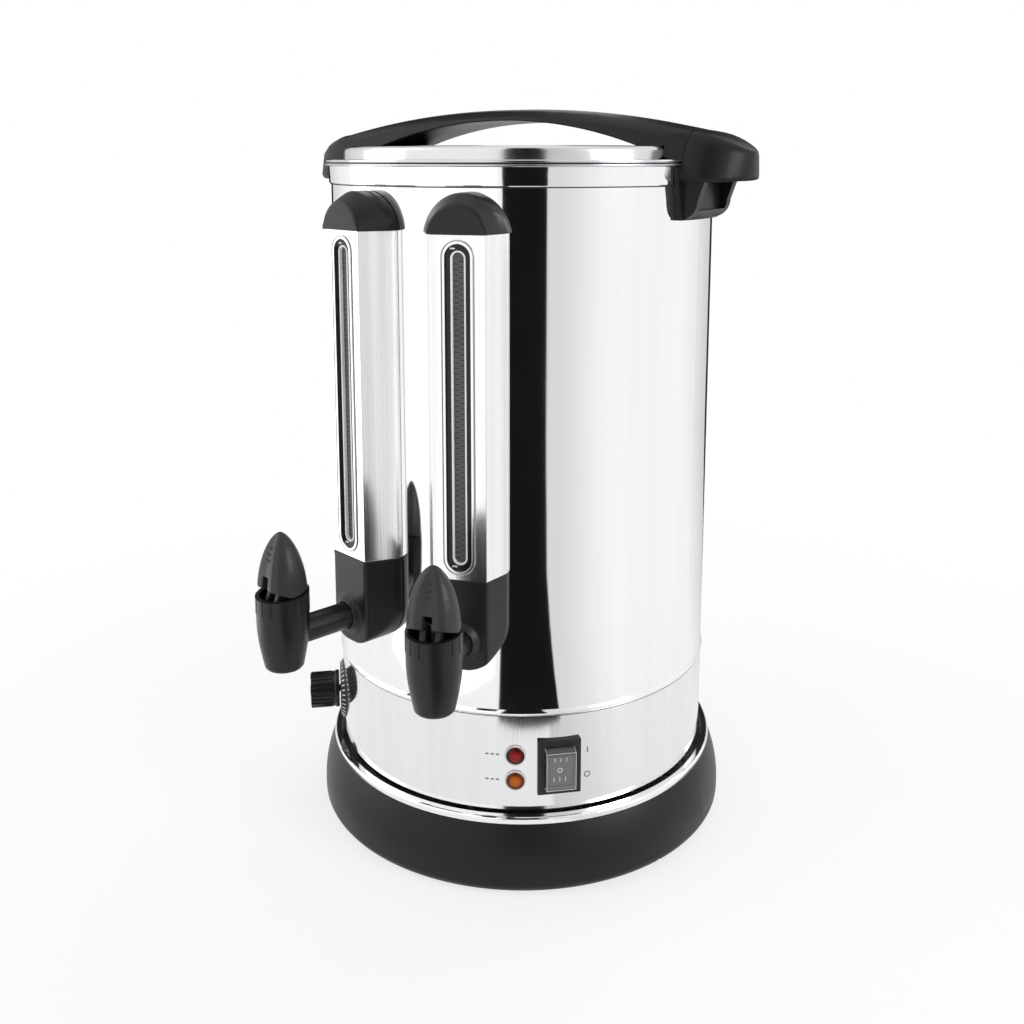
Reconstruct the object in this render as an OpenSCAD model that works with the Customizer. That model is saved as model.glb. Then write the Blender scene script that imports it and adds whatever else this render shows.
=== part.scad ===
// Hot water urn for catering: a steel tank in a polished body on a plastic skirt, with two
// lever taps at the front, each under its own sight-glass column, and a lift-off lid.
// +Z is up, the taps face -Y, and the origin is on the table under the centre of the urn.
// Millimetres and degrees. An azimuth of 0 points to the front and grows towards +X.

/* [Body] */
// Outer radius of the steel body
body_r = 155; // [148:1:162]
// Thickness of the steel sheet
sheet = 1; // [0.8:0.1:1.2]
// Height of the plastic skirt under the housing
skirt_h = 53; // [46:1:60]
// How far the skirt stands out past the body at its widest
skirt_out = 17; // [14:1:21]
// Wall of the skirt
skirt_wall = 3; // [2:0.5:4]
// Height of the control housing between the skirt and the body
housing_h = 82.3; // [78:0.5:92]
// Height of the body from the housing to the rim
body_h = 403.7; // [380:1:440]
// Height of the collar that trims the body under its rim
collar_h = 13.5; // [10:0.5:18]
// How far the rolled rim stands out past the body
rim_out = 5; // [4:0.5:6]

/* [Tank] */
// Space between the outside of the body and the outside of the tank
tank_gap = 13; // [12:0.5:16]
// Height of the tank's floor above the foot of the body
tank_rise = 14.7; // [12:0.5:20]
// Radius of the heat-spreading plate under the tank
spreader_r = 92; // [80:1:98]
// Thickness of that plate
spreader_t = 3; // [2:0.5:4]
// Radius of the heating element's ring
element_r = 70; // [60:1:76]

/* [Lid] */
// Width of the lid's flat flange, from its raised middle to the rim
flange_w = 15; // [14:0.5:16]
// Height of the raised middle above the lid's flange
lid_rise = 10; // [8:0.5:14]
// Depth of the ring that centres the lid in the tank
lid_plug_h = 14; // [8:1:20]
// Thickness of the silicone gasket under the lid
gasket_t = 3; // [2.5:0.5:4]

/* [Handles] */
// Width of the handles across their side edges
handle_w = 67.2; // [60:0.5:72]
// Reach of each side handle past the rim
handle_out = 38.5; // [34:0.5:44]
// Free height under the middle of the lid's arch
arch_gap = 20.3; // [17:0.5:26]
// Height of the arch's upright side edge in the middle
arch_edge = 2.4; // [1.5:0.1:4]
// Height of the bevels above that edge
arch_bevel = 6.4; // [5:0.2:8]
// Rise of the crown above the bevels
arch_crown = 1; // [0.5:0.1:2]
// Height of the side handles' carrying edge below the lid's flange
carry_drop = 16.5; // [14:0.5:20]
// Height of the bracket under that edge
bracket_h = 27.5; // [24:0.5:32]

/* [Columns] */
// Azimuth of each tap and its column, to either side of the front
tap_az = 16; // [14:0.5:20]
// Distance of the columns' front face from the body
column_out = 25.7; // [23:0.1:29]
// Width of that front face
face_w = 39.8; // [38:0.2:43]
// Width of the columns where their bevels end
column_w = 58.4; // [56:0.2:64]
// Depth of the bevels from front to back
bevel_d = 21.2; // [18:0.2:23]
// Thickness of the column covers
cover_t = 1.5; // [1:0.1:1.8]
// Height of the tap block at the foot of each column
block_h = 68.5; // [60:0.5:76]
// Height of the cap on each column
cap_h = 28; // [25:0.5:30]
// Distance from the cap's top to the rim
cap_drop = 17; // [15:0.5:22]
// Width of the sight slot in the cover
slot_w = 18.2; // [16:0.2:19]
// Plain cover above and below the slot
slot_margin = 6.2; // [5:0.2:10]
// Outer radius of the sight tube
tube_r = 4; // [3:0.1:4.1]
// Wall of the sight tube
tube_wall = 1; // [0.8:0.1:1.4]

/* [Taps] */
// Height of the tap shanks above the foot of the body
shank_rise = 68.2; // [62:0.5:76]
// Radius of the shank
shank_r = 10; // [9:0.2:11]
// Radius of the water way through the shank
water_r = 6; // [5:0.2:6.5]
// Distance of the tap's axis from the front face of its column
tap_out = 58.8; // [53:0.2:65]
// Largest radius of the tap barrel
barrel_r = 19; // [18:0.1:20]
// Height of the barrel above its shank
barrel_up = 19.5; // [18:0.5:22]
// Height of the barrel below its shank
barrel_down = 24.5; // [22:0.5:28]
// Radius of the spout hole
spout_r = 6.5; // [5:0.1:7]
// Height of the ribbed collar on the barrel
bonnet_h = 12; // [11:0.5:14]
// Height of the lever above the collar
lever_h = 47; // [40:1:56]
// How far the lever's foot stands in from the collar's edge
lever_in = 1; // [0.6:0.1:2]
// Radius of the valve stem
stem_r = 3; // [2.6:0.1:3.2]
// Rise of the stem for each radian that the lever tilts
lift_rate = 4; // [3:0.5:5]

/* [Controls] */
// Azimuth of the power switch
switch_az = 40.5; // [38:0.5:44]
// Azimuth of the two lamps
lamp_az = 28.4; // [27:0.2:30]
// Azimuth of the thermostat knob
knob_az = -50; // [-56:0.5:-46]
// Height of the controls above the skirt
control_rise = 42; // [40:0.5:46]
// Width and height of the switch frame
switch_size = [33, 43]; // [30:1:48]
// Distance between the two lamps
lamp_pitch = 20.2; // [18:0.2:24]
// Radius of the lamp lenses
lamp_r = 6.8; // [5:0.1:7]
// Radius of the knob
knob_r = 14.5; // [12:0.5:16]
// Length of the knob
knob_len = 24; // [20:0.5:28]
// Radius of the dial plate behind the knob
dial_r = 25; // [21:0.5:27]
// Radius of the hole for the mains lead in its gland
lead_r = 4; // [3:0.1:4.5]

/* [Fits] */
// Gap between pieces that move past each other
gap = 0.3; // [0.2:0.05:0.5]
// Radial clearance of a shaft in its hole
fit = 0.05; // [0.02:0.01:0.1]
// Radial clearance of a bolt or screw in a plain hole
loose = 0.2; // [0.1:0.05:0.4]

/* [Hidden] */
$fn = 72;
eps = 0.01;
// half the length of a cut through a wall
wall_cut = 40;

// radii and distances from the urn's axis
skirt_r = body_r + skirt_out;
rim_r = body_r + rim_out;
tank_r = body_r - tank_gap;
lid_r = rim_r - flange_w;
column_v = body_r + column_out;
tap_v = column_v + tap_out;

// levels of the body, from the table up
joint_z = skirt_h + housing_h;
rim_z = joint_z + body_h;
floor_z = joint_z + tank_rise;
plate_z = 8;
bead_h = 5.2;
bead_out = 1.2;
collar_r = body_r + 2.3;
collar_z = rim_z - collar_h;
lap_h = 9;

// levels of the rim and the lid
rim_roll = 2.2;
rim_roll_w = 2;
gasket_z = rim_z + sheet;
flange_z = gasket_z + gasket_t;
flange_top = flange_z + sheet;
lid_z = flange_top + lid_rise;
lid_round = 4;
plug_r = tank_r - sheet - 1.4;

// the handles: how far the arch's lower, side and top curves drop from the middle to the seam
low_drop = 37.9;
side_drop = 20.4;
top_drop = 18.1;
handle_draft = 0.28;
crest_w = handle_w - 25;
bracket_w = handle_w + 2.8;
seam_r = rim_r + gap;
carry_z = flange_top - carry_drop;
end_v = seam_r + handle_out;

// columns and taps
shank_z = joint_z + shank_rise;
block_z = shank_z - 22.5;
cover_z = block_z + block_h;
cap_top = rim_z - cap_drop;
cover_top = cap_top - cap_h;
slot_z = [cover_z + slot_margin, cover_top - slot_margin];
window_t = 2;
pane_v = column_v - cover_t;
tube_v = pane_v - window_t - tube_r - 1.2;
pill_w = 10.8;
pill_line = 1.1;
pill_inset = 4.6;
tube_seat = 0.6;
bonnet_z = shank_z + barrel_up;
cup_z = bonnet_z + bonnet_h;
cup_r = barrel_r + 0.4;
cup_wall = 3.2;
lever_r = cup_r - lever_in;
cup_slope = 4;
cup_floor = bonnet_z + 6;
spigot_r = 13;
spigot_h = 7;
seat_z = shank_z - 7.5;
chamber_r = 10.5;
plug_h = 9;
pin_r = 2;
pin_len = 18;
pin_z = cup_z + 6;
tilt_max = 32;
lever_slot = 6.6;
spout_z = shank_z - barrel_down;
nut_h = 6;
washer_t = 2.5;
washer_r = 15;
tank_face_v = sqrt(pow(tank_r - sheet, 2) - washer_r * washer_r) - gap;
shank_end_v = tank_face_v - washer_t - nut_h - 4;

// controls
control_z = skirt_h + control_rise;
panel_v = body_r;
lamp_stem_r = lamp_r - 0.6;
rocker_pivot_v = panel_v - 3;
frame_v = panel_v + 2.6;
shroud_wall = 1.2;
window_size = switch_size - [10.8, 10.4];
shroud_size = window_size + 2 * shroud_wall * [1, 1];
socket_v = panel_v - 31;
rocker_w = window_size[0] - 2.8;
rocker_half = window_size[1] / 2 - 3.7;
rocker_pin_r = 1.5;
rocker_turn = 9;
socket_size = [rocker_w + 1, window_size[1] - 3];
boot_v = panel_v + 10;
boot_wall = 0.8;
shaft_r = 3;
bushing_r = 5;
knob_v = panel_v + 4;
dial_t = 3;
gland_z = control_z - 10;
gland_r = lead_r + 4;
gland_in_v = body_r - 16;

// fasteners and feet
rod_r = 3;
rod_ring = tank_r - 30;
rod_az = [75, 195, 315];
foot_r = 11;
foot_ring = body_r - 29;
boss_r = 6;
boss_ring = body_r - 8;
boss_az = [45, 135, 225, 315];
screw_r = 2;
screw_head_r = 4;
screw_head_h = 2.4;
screw_len = 22;
handle_screw_u = bracket_w / 2 - 4;
handle_screw_z = carry_z - 10;
lid_screw_v = [lid_r - 23, lid_r - 13];

// how far an arc that drops by drop at the seam has dropped at a distance v from the middle
function sag(drop, v) = let (r = (seam_r * seam_r + drop * drop) / (2 * drop)) r - sqrt(r * r - v * v);
function arc(c, r, from, to, steps = 10) =
    [for (i = [0:steps]) let (a = from + (to - from) * i / steps) [c[0] + r * cos(a), c[1] + r * sin(a)]];
function mix(a, b, t) = a + (b - a) * t;
// the height of the upper (1) or lower (-1) lamp
function lamp_z(s) = control_z - 0.6 + s * lamp_pitch / 2;
// the point at a height z and a distance v from the urn's axis, at an azimuth
function spot(az, v, z) = [v * sin(az), -v * cos(az), z];

// --- placing and drawing helpers: u is across, v is outward and z is up ---

module at(az) rotate([0, 0, az]) children();

// a shape drawn in (u, z), extruded outward from distance v over a depth
module outward(v, depth) translate([0, -v, 0]) rotate([90, 0, 0]) linear_extrude(depth) children();

// a round piece along the outward direction, centred at (u, z), from distance v
module rod_out(u, v, z, r, len) translate([u, -v, z]) rotate([90, 0, 0]) cylinder(h = len, r = r);

// a round hole at (u, z) through the walls of the body, the housing or the tank
module wall_hole(u, z, r) rod_out(u, body_r - wall_cut, z, r, 2 * wall_cut);

// a shape drawn in (v, z), extruded across to a width
module across(width) rotate([90, 0, -90]) linear_extrude(width, center = true) children();

// a profile drawn in (radius, v), turned about the outward line at (u, z)
module turned_out(u, z) translate([u, 0, z]) rotate([90, 0, 0]) rotate_extrude() children();

// a ring about the z axis
module ring(r_out, r_in, z, h) translate([0, 0, z]) difference() {
    cylinder(h = h, r = r_out);
    translate([0, 0, -1]) cylinder(h = h + 2, r = r_in);
}

// a solid skinned over closed sections of equal point counts
module skin(sections) {
    n = len(sections[0]);
    last = (len(sections) - 1) * n;
    sides = [for (s = [0:len(sections) - 2], i = [0:n - 1])
        let (a = s * n + i, b = s * n + (i + 1) % n)
        each [[a, b, b + n], [a, b + n, a + n]]];
    caps = [[for (i = [n - 1:-1:0]) i], [for (i = [0:n - 1]) last + i]];
    polyhedron(points = [for (s = sections) each s], faces = concat(caps, sides), convexity = 6);
}

function unit(p) = p / norm(p);
// a section of a wire carried along its run to the mitre plane at the next point
function mitre(ring, at, along, normal) = [for (q = ring) q + along * ((at - q) * normal) / (along * normal)];
function wire_rings(points, ring, i = 1) = let (
        along = unit(points[i] - points[i - 1]), last = i == len(points) - 1,
        next = mitre(ring, points[i], along, last ? along : unit(along + unit(points[i + 1] - points[i]))))
    last ? [ring, next] : concat([ring], wire_rings(points, next, i + 1));

// a wire of straight runs with mitred corners, square at both ends
module wire(points, r) {
    along = unit(points[1] - points[0]);
    side = unit(cross(along, abs(along[2]) > 0.9 ? [1, 0, 0] : [0, 0, 1]));
    up = cross(along, side);
    skin(wire_rings(points, [for (k = [0:7]) points[0] + r * (cos(k * 45) * up + sin(k * 45) * side)]));
}

// what the body fills, and what the body, its collar and its rolled rim fill, with a fitting
// gap outside them
module body_space() cylinder(h = rim_z, r = body_r + fit, $fn = 288);

module body_envelope(clear = fit) rotate_extrude($fn = 288) polygon([
    [0, 0], [body_r + clear, 0], [body_r + clear, collar_z - clear], [collar_r + clear, collar_z - clear],
    [collar_r + clear, rim_z - gap], [seam_r, rim_z - gap], [seam_r, lid_z + 80], [0, lid_z + 80]]);

// --- base ---

skirt_arc_z = 15;
skirt_top_r = body_r + 7.8;
skirt_arc_r = (pow(skirt_h - skirt_arc_z, 2) + pow(skirt_r - skirt_top_r, 2)) / (2 * (skirt_r - skirt_top_r));
skirt_toe = 8;
skirt_lift = 1;
shelf_r = body_r - 6;
shelf_h = 4;
shelf_back = shelf_r - 6;
lip_t = 2;
rib_t = 3;
notch_az = 69.5;
notch = 5;
notch_depth = 14;

module skirt_outline(inset) polygon(concat(
    arc([skirt_r - skirt_toe, skirt_lift + skirt_toe], skirt_toe - inset, -90, 0, 6),
    arc([skirt_r - skirt_arc_r, skirt_arc_z], skirt_arc_r - inset, 0,
        asin((skirt_h - inset - skirt_arc_z) / (skirt_arc_r - inset)), 12),
    [[shelf_back, skirt_h - inset], [shelf_back, skirt_lift + inset]]));

// a rib that ties each screw boss to the skirt's wall, as its profile out from the axis
boss_top = skirt_h - shelf_h / 2;

module boss_rib() across(rib_t) polygon(concat(
    [[boss_ring + boss_r - 1, plate_z + sheet], [skirt_r - skirt_wall / 2, plate_z + sheet]],
    arc([skirt_r - skirt_arc_r, skirt_arc_z], skirt_arc_r - skirt_wall / 2, 0,
        asin((boss_top - skirt_arc_z) / (skirt_arc_r - skirt_wall / 2)), 6),
    [[boss_ring + boss_r - 1, boss_top]]));

module base_skirt() color("#3c3d40") difference() {
    union() {
        rotate_extrude() difference() {
            skirt_outline(0);
            skirt_outline(skirt_wall);
            translate([0, -1]) square([skirt_r - skirt_toe - lip_t, skirt_h - shelf_h + 1]);
            square([shelf_r, skirt_h + 1]);
        }
        for (az = boss_az) at(az) {
            translate([0, -boss_ring, plate_z + sheet])
                cylinder(h = boss_top - plate_z - sheet, r = boss_r);
            boss_rib();
        }
    }
    for (az = boss_az) at(az) translate([0, -boss_ring, 0])
        cylinder(h = plate_z + screw_len, r = screw_r + fit);
    at(notch_az) translate([-notch / 2, -skirt_r - 1, -1])
        cube([notch, notch_depth, notch + 1]);
}

ring_in = body_r + 3;
ring_h = 5.5;
ring_out = 0.8;
ring_round = 2;

module base_ring() color("#e8e9ea") rotate_extrude() polygon(concat(
    [[ring_in, skirt_h], [skirt_top_r, skirt_h]],
    arc([skirt_top_r + ring_out - ring_round, skirt_h + ring_h - ring_round], ring_round, 0, 90, 5),
    [[ring_in, skirt_h + ring_h]]));

plate_edge = 4;
vent = [4, 60];
vent_pitch = 9;

module bottom_plate() color("#a9abad") translate([0, 0, plate_z]) linear_extrude(sheet) difference() {
    circle(boss_ring + boss_r + plate_edge);
    for (az = boss_az) at(az) translate([0, -boss_ring]) circle(screw_r + loose);
    for (az = rod_az) at(az) translate([0, -rod_ring]) circle(rod_r + loose);
    for (i = [-4:4]) translate([i * vent_pitch, 0]) square(vent, center = true);
}

foot_edge = 1.5;

module feet() color("#1b1b1c") for (i = [0:3]) at(i * 90)
    translate([0, -foot_ring, 0]) rotate_extrude()
        polygon([[0, 0], [foot_r - foot_edge, 0], [foot_r, foot_edge], [foot_r, plate_z], [0, plate_z]]);

module base_screws() color("#b9babc") for (az = boss_az) at(az) translate([0, -boss_ring, 0]) {
    translate([0, 0, plate_z - screw_head_h]) cylinder(h = screw_head_h, r = screw_head_r);
    translate([0, 0, plate_z - screw_head_h]) cylinder(h = screw_len, r = screw_r);
}

rod_end = 5;
rod_nut_h = 4;
rod_nut_r = 5.5;

// threaded rods that clamp the tank, the body and the housing down on the skirt
module tie_rods() color("#b9babc") for (az = rod_az) at(az) translate([0, -rod_ring, 0]) {
    translate([0, 0, plate_z - rod_end]) cylinder(h = floor_z - plate_z + rod_end, r = rod_r);
    translate([0, 0, plate_z - rod_nut_h]) cylinder(h = rod_nut_h, r = rod_nut_r, $fn = 6);
}

// --- housing, body and rim ---

foot_flange = 8;

// its top edge steps inward, and the body slips over the step
module lower_housing() color("#dcdde0") difference() {
    rotate_extrude() polygon([
        [body_r - foot_flange, skirt_h], [body_r, skirt_h], [body_r, joint_z],
        [body_r - sheet - fit, joint_z], [body_r - sheet - fit, joint_z + lap_h],
        [body_r - 2 * sheet, joint_z + lap_h], [body_r - 2 * sheet, joint_z - 1],
        [body_r - sheet, joint_z - 1 - sheet], [body_r - sheet, skirt_h + sheet],
        [body_r - foot_flange, skirt_h + sheet]]);
    at(switch_az) outward(body_r - wall_cut, 2 * wall_cut) centred(shroud_size + 2 * loose * [1, 1]);
    for (s = [-1, 1]) at(lamp_az) wall_hole(0, lamp_z(s), lamp_stem_r + loose);
    at(knob_az) wall_hole(0, control_z, bushing_r + loose);
    at(180) wall_hole(0, gland_z, gland_r + loose);
}

module outer_body() color("#e6e7ea") difference() {
    rotate_extrude() polygon(concat(
        [[body_r - sheet, joint_z], [body_r, joint_z]],
        [for (i = [0:8]) [body_r + bead_out * sin(i * 22.5), joint_z + bead_h * i / 8]],
        [[body_r, rim_z], [body_r - sheet, rim_z]]));
    for (s = [-1, 1]) at(s * tap_az) wall_hole(0, shank_z, shank_r + loose);
    for (s = [-1, 1], u = [-1, 1]) at(s * 90) wall_hole(u * handle_screw_u, handle_screw_z, screw_r + loose);
}

collar_lean = 0.6;
collar_round = 1;

module top_collar() color("#eceded") rotate_extrude() polygon(concat(
    [[body_r + fit, rim_z], [body_r + fit, collar_z]],
    arc([collar_r - collar_lean - collar_round, collar_z + collar_round], collar_round, -90, 0, 4),
    [[collar_r, rim_z]]));

tank_round = 6;
weld_gap = 0.05;

// the tank's wall, from the weld round its floor to its rolled rim
module inner_tank() color("#d4d6d9") difference() {
    rotate_extrude() polygon(concat(
        arc([tank_r - tank_round, floor_z + tank_round], tank_round, -90, 0, 6),
        [[tank_r, rim_z - 1], [tank_r + 1, rim_z], [rim_r - rim_roll_w, rim_z]],
        arc([rim_r - rim_roll / 2, rim_z + rim_roll / 2], rim_roll / 2, -90, 90, 6),
        [[rim_r - rim_roll_w, rim_z + rim_roll], [rim_r - rim_roll_w, rim_z + sheet],
            [tank_r - sheet, rim_z + sheet]],
        arc([tank_r - tank_round, floor_z + tank_round], tank_round - sheet, 0, -90, 6)));
    for (s = [-1, 1]) at(s * tap_az) wall_hole(0, shank_z, shank_r + loose);
}

module tank_floor() color("#d0d2d5") translate([0, 0, floor_z])
    cylinder(h = sheet, r = tank_r - tank_round - weld_gap);

// --- heating and wiring under the tank ---

element_t = 8;
element_z = floor_z - spreader_t - element_t;
element_turn = 14;
element_over = 4;
element_pin_r = 2;
pin_drop = 18;
cutout_r = 9;
cutout_h = 8;
tab = [4, 1, 12];
tab_u = 5;

module heat_spreader() color("#b4b7ba") translate([0, 0, floor_z - spreader_t])
    cylinder(h = spreader_t, r = spreader_r);

module heating_element() color("#8f7f68") {
    rotate([0, 0, element_turn - element_over - 90])
        rotate_extrude(angle = 360 - 2 * (element_turn - element_over))
        translate([element_r, element_z]) polygon(concat(
            arc([0, element_t / 2], element_t / 2, 180, 360, 10),
            [[element_t / 2, element_t], [-element_t / 2, element_t]]));
    for (s = [-1, 1]) at(s * element_turn) translate([0, -element_r, element_z - pin_drop])
        cylinder(h = pin_drop + element_pin_r, r = element_pin_r);
}

// a snap disc in its case, with two flat tabs below
module thermal_cutout() color("#d9d2c0") translate([0, 0, floor_z - spreader_t - cutout_h]) {
    cylinder(h = cutout_h, r = cutout_r);
    for (s = [-1, 1]) translate([s * tab_u - tab[0] / 2, -tab[1] / 2, -tab[2]]) cube(tab + [0, 0, eps]);
}

thermostat_v = panel_v - sheet - 2;
thermostat_d = 30;
thermostat_w = 30;
thermostat_h = 36;
shaft_in = 14;

module thermostat_body() color("#cfc8b5") at(knob_az) difference() {
    union() {
        outward(thermostat_v - thermostat_d, thermostat_d) centred([thermostat_w, thermostat_h]);
        rod_out(0, thermostat_v - 1, control_z, bushing_r, panel_v + dial_t + 0.5 - thermostat_v);
    }
    rod_out(0, thermostat_v - shaft_in - 2, control_z, shaft_r + fit, 2 * wall_cut);
}

bulb_r = 3;
bulb_len = 60;
bulb_z = floor_z - spreader_t - bulb_r - 1;
bulb_y = -40;
bulb_x = -40;
clip_w = 8;
clip_wall = 1;
capillary_r = 1;
capillary_bend = 8;
capillary_drop = 22;
capillary_v = thermostat_v - 20;

// the bulb, its clip on the heat plate, and the capillary that leads to the thermostat
module thermostat_bulb() color("#b87333") {
    low = bulb_z - capillary_drop;
    translate([bulb_x, bulb_y, bulb_z]) rotate([0, 90, 0]) cylinder(h = bulb_len, r = bulb_r);
    translate([bulb_x + bulb_len / 2, bulb_y - bulb_r - clip_wall, bulb_z])
        cube([clip_w, 2 * (bulb_r + clip_wall), floor_z - spreader_t - bulb_z]);
    wire([[bulb_x + 1, bulb_y, bulb_z], [bulb_x - capillary_bend, bulb_y, bulb_z],
        [bulb_x - capillary_bend, bulb_y, low], spot(knob_az, capillary_v, low),
        spot(knob_az, capillary_v, control_z + thermostat_h / 2)], capillary_r);
}

block_v = body_r - 55;
block_size = [44, 18, 20];
block_screw_r = 2.2;
block_screw_pitch = 13;
block_screw_depth = 8;

module terminal_block() color("#e8e4d8") translate([0, block_v, plate_z + sheet]) difference() {
    translate([-block_size[0] / 2, -block_size[1] / 2, 0]) cube(block_size);
    for (i = [-1:1]) translate([i * block_screw_pitch, 0, block_size[2] - block_screw_depth])
        cylinder(h = block_size[2], r = block_screw_r);
}

wire_r = 1.2;
wire_turn = 14;
wire_step = 8;
core_pitch = 2.8;
core_run = 6;
terminal_v = 6;

// three cores from the gland to the block, then a feed wire to the switch and to the thermostat,
// and from each of them a wire to one pin of the element
module wiring() color("#b8412f") {
    top = plate_z + sheet + block_size[2];
    back_v = block_v + terminal_v;
    front_v = block_v - terminal_v;
    for (i = [-1:1])
        wire([[i * core_pitch, gland_in_v, gland_z], [i * core_pitch, gland_in_v - core_run, gland_z],
            [i * block_screw_pitch, back_v, top + wire_turn], [i * block_screw_pitch, back_v, top]], wire_r);
    feed(switch_az, socket_v, [17, front_v, top], 16, element_turn);
    feed(knob_az, thermostat_v - thermostat_d, [-17, front_v, top], 26, -element_turn);
}

// a wire from a terminal up by rise and over to a control at (az, v), and one from there to a pin
module feed(az, v, terminal, rise, pin_az) {
    turn_v = v - wire_turn;
    next_z = control_z + wire_step;
    over = terminal + [0, 0, rise];
    wire([terminal, over, spot(az, turn_v, over[2]), spot(az, turn_v, control_z), spot(az, v, control_z)],
        wire_r);
    wire([spot(az, v, next_z), spot(az, turn_v, next_z), spot(pin_az, element_r, next_z),
        spot(pin_az, element_r, element_z - pin_drop)], wire_r);
}

gland_len = 20;
gland_nut = [gland_r + 3, 8 - 2 * sheet - 0.4];
gland_flange = [gland_r + 4, 2.5];
gland_neck = [gland_r + 1, 4];
gland_grip_v = panel_v + 3;
gland_inside = 0.6;

// a threaded barrel with a nut inside the wall, and a flange and a tapered guard outside it that
// grips the lead
module cord_gland() color("#222326") at(180) difference() {
    union() {
        rod_out(0, gland_in_v, gland_z, gland_r, panel_v - gland_in_v);
        rod_out(0, panel_v - 8, gland_z, gland_nut[0], gland_nut[1]);
        difference() {
            turned_out(0, gland_z) polygon([[0, panel_v - 2], [gland_flange[0], panel_v - 2],
                [gland_flange[0], panel_v + gland_flange[1]], [gland_neck[0], panel_v + gland_neck[1]],
                [gland_r - 0.5, panel_v + gland_len], [0, panel_v + gland_len]]);
            difference() {
                body_space();
                wall_hole(0, gland_z, gland_r);
            }
        }
    }
    rod_out(0, gland_in_v - 5, gland_z, lead_r, 2 * wall_cut);
    rod_out(0, gland_in_v - 5, gland_z, lead_r + gland_inside, gland_grip_v - gland_in_v + 5);
}

// --- side handles, fixed to the body ---

side_w = handle_w / 2;
low_z0 = lid_z + arch_gap;
side_z0 = low_z0 + arch_edge;
crest_z0 = side_z0 + arch_bevel;
plan_v = seam_r + 0.7;
nose_len = end_v - plan_v;
nose_top_drop = 15.5;
nose_side_drop = 10.5;
nose_low_rise = 3.5;
nose_turn = 86;
nose_root = 12;
heel = 3;
// place of the bevels' middle ridge: its share of the way in, and its share of the way up
ridge = [0.55, 0.75];

// the cross section of a handle at (v, size): its foot, side edges, bevels and crown
function handle_section(v, low, side, crest, size, toe) = let (
        foot = side_w + handle_draft * (side - low), k = size, c = crest_w / 2,
        ridge_w = mix(side_w, c, ridge[0]), ridge_z = mix(side, crest, ridge[1])) [
    [v, -(foot - toe) * k, low], [v, -foot * k, low + toe], [v, -side_w * k, side],
    [v, -ridge_w * k, ridge_z], [v, -c * k, crest], [v, 0, crest + arch_crown * k], [v, c * k, crest],
    [v, ridge_w * k, ridge_z], [v, side_w * k, side], [v, foot * k, low + toe],
    [v, (foot - toe) * k, low]];

// sections of the end of a side handle, from the seam to its nose
function nose_sections() = let (
        side = side_z0 - sag(side_drop, seam_r), crest = crest_z0 - sag(top_drop, seam_r)) concat(
    [handle_section(seam_r - nose_root, carry_z, side + 1.6, crest + 1.6, 1, heel),
        handle_section(seam_r, carry_z, side, crest, 1, heel)],
    [for (i = [0:10]) let (a = nose_turn * i / 10, t = sin(a)) handle_section(plan_v + nose_len * t,
        carry_z + nose_low_rise * pow(t, 4), side - nose_side_drop * pow(t, 1.4),
        crest - nose_top_drop * pow(t, 1.6), cos(a), heel)]);

pad_w = [handle_w + 6.8, handle_w + 20.8];
pad_depth = 20;
bracket_rib = 8;
bracket_round = 14;
bracket_out = 11.5;
bracket_floor = 7;

module side_handle(side) color("#232427") at(side * 90) difference() {
    union() {
        rotate([0, 0, -90]) skin(nose_sections());
        across(bracket_w) polygon(concat(
            [[body_r - pad_depth, carry_z + heel], [body_r - pad_depth, carry_z - bracket_h]],
            arc([body_r - 2, carry_z - bracket_h + bracket_round], bracket_round, -90, 0, 8),
            [[seam_r + bracket_out, carry_z], [seam_r + bracket_out, carry_z + heel]]));
        intersection() {
            outward(body_r - pad_depth, 2 * pad_depth) polygon([
                [-pad_w[0] / 2, carry_z - bracket_h], [pad_w[0] / 2, carry_z - bracket_h],
                [pad_w[1] / 2, rim_z - gap], [-pad_w[1] / 2, rim_z - gap]]);
            cylinder(h = lid_z, r = seam_r);
        }
    }
    body_envelope();
    across(bracket_w - 2 * bracket_rib) translate([seam_r + 0.6, carry_z - bracket_h + bracket_floor])
        square([30, bracket_h - bracket_floor]);
    for (u = [-1, 1])
        rod_out(u * handle_screw_u, body_r - pad_depth, handle_screw_z, screw_r + fit, handle_screw_depth);
}

handle_screw_depth = 28;
handle_screw_len = 12;
handle_head = [4.5, 3];
handle_head_v = sqrt(pow(body_r - sheet, 2) - pow(handle_screw_u + handle_head[0], 2)) - gap;

module handle_screws() color("#b9babc") for (s = [-1, 1], u = [-1, 1]) at(s * 90) {
    rod_out(u * handle_screw_u, handle_head_v - handle_head[1], handle_screw_z, handle_head[0],
        handle_head[1]);
    rod_out(u * handle_screw_u, handle_head_v - 1, handle_screw_z, screw_r, handle_screw_len);
}

// --- controls on the housing ---

// a rectangle in (u, z) about the height of the controls
module centred(size) translate([0, control_z]) square(size, center = true);

rocker_pin_out = 1;
rocker_swing = 10;

// the frame's plate, and the shroud behind it that holds the rocker on its pins
module switch_frame() color("#1d1e20") at(switch_az) difference() {
    union() {
        difference() {
            outward(panel_v - 2, frame_v - panel_v + 2) centred(switch_size);
            body_space();
        }
        outward(socket_v, frame_v - socket_v) centred(shroud_size);
    }
    outward(panel_v - 0.5, 10) centred(window_size);
    outward(rocker_pivot_v - rocker_swing, wall_cut) centred(socket_size);
    translate([0, -rocker_pivot_v, control_z]) rotate([0, 90, 0])
        cylinder(h = rocker_w + 2 * rocker_pin_out + 0.4, r = rocker_pin_r + fit, center = true);
}

rocker_face = 9;
rocker_waist = 7.2;
rocker_root = [2, 6];
rocker_back = 4;

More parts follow.
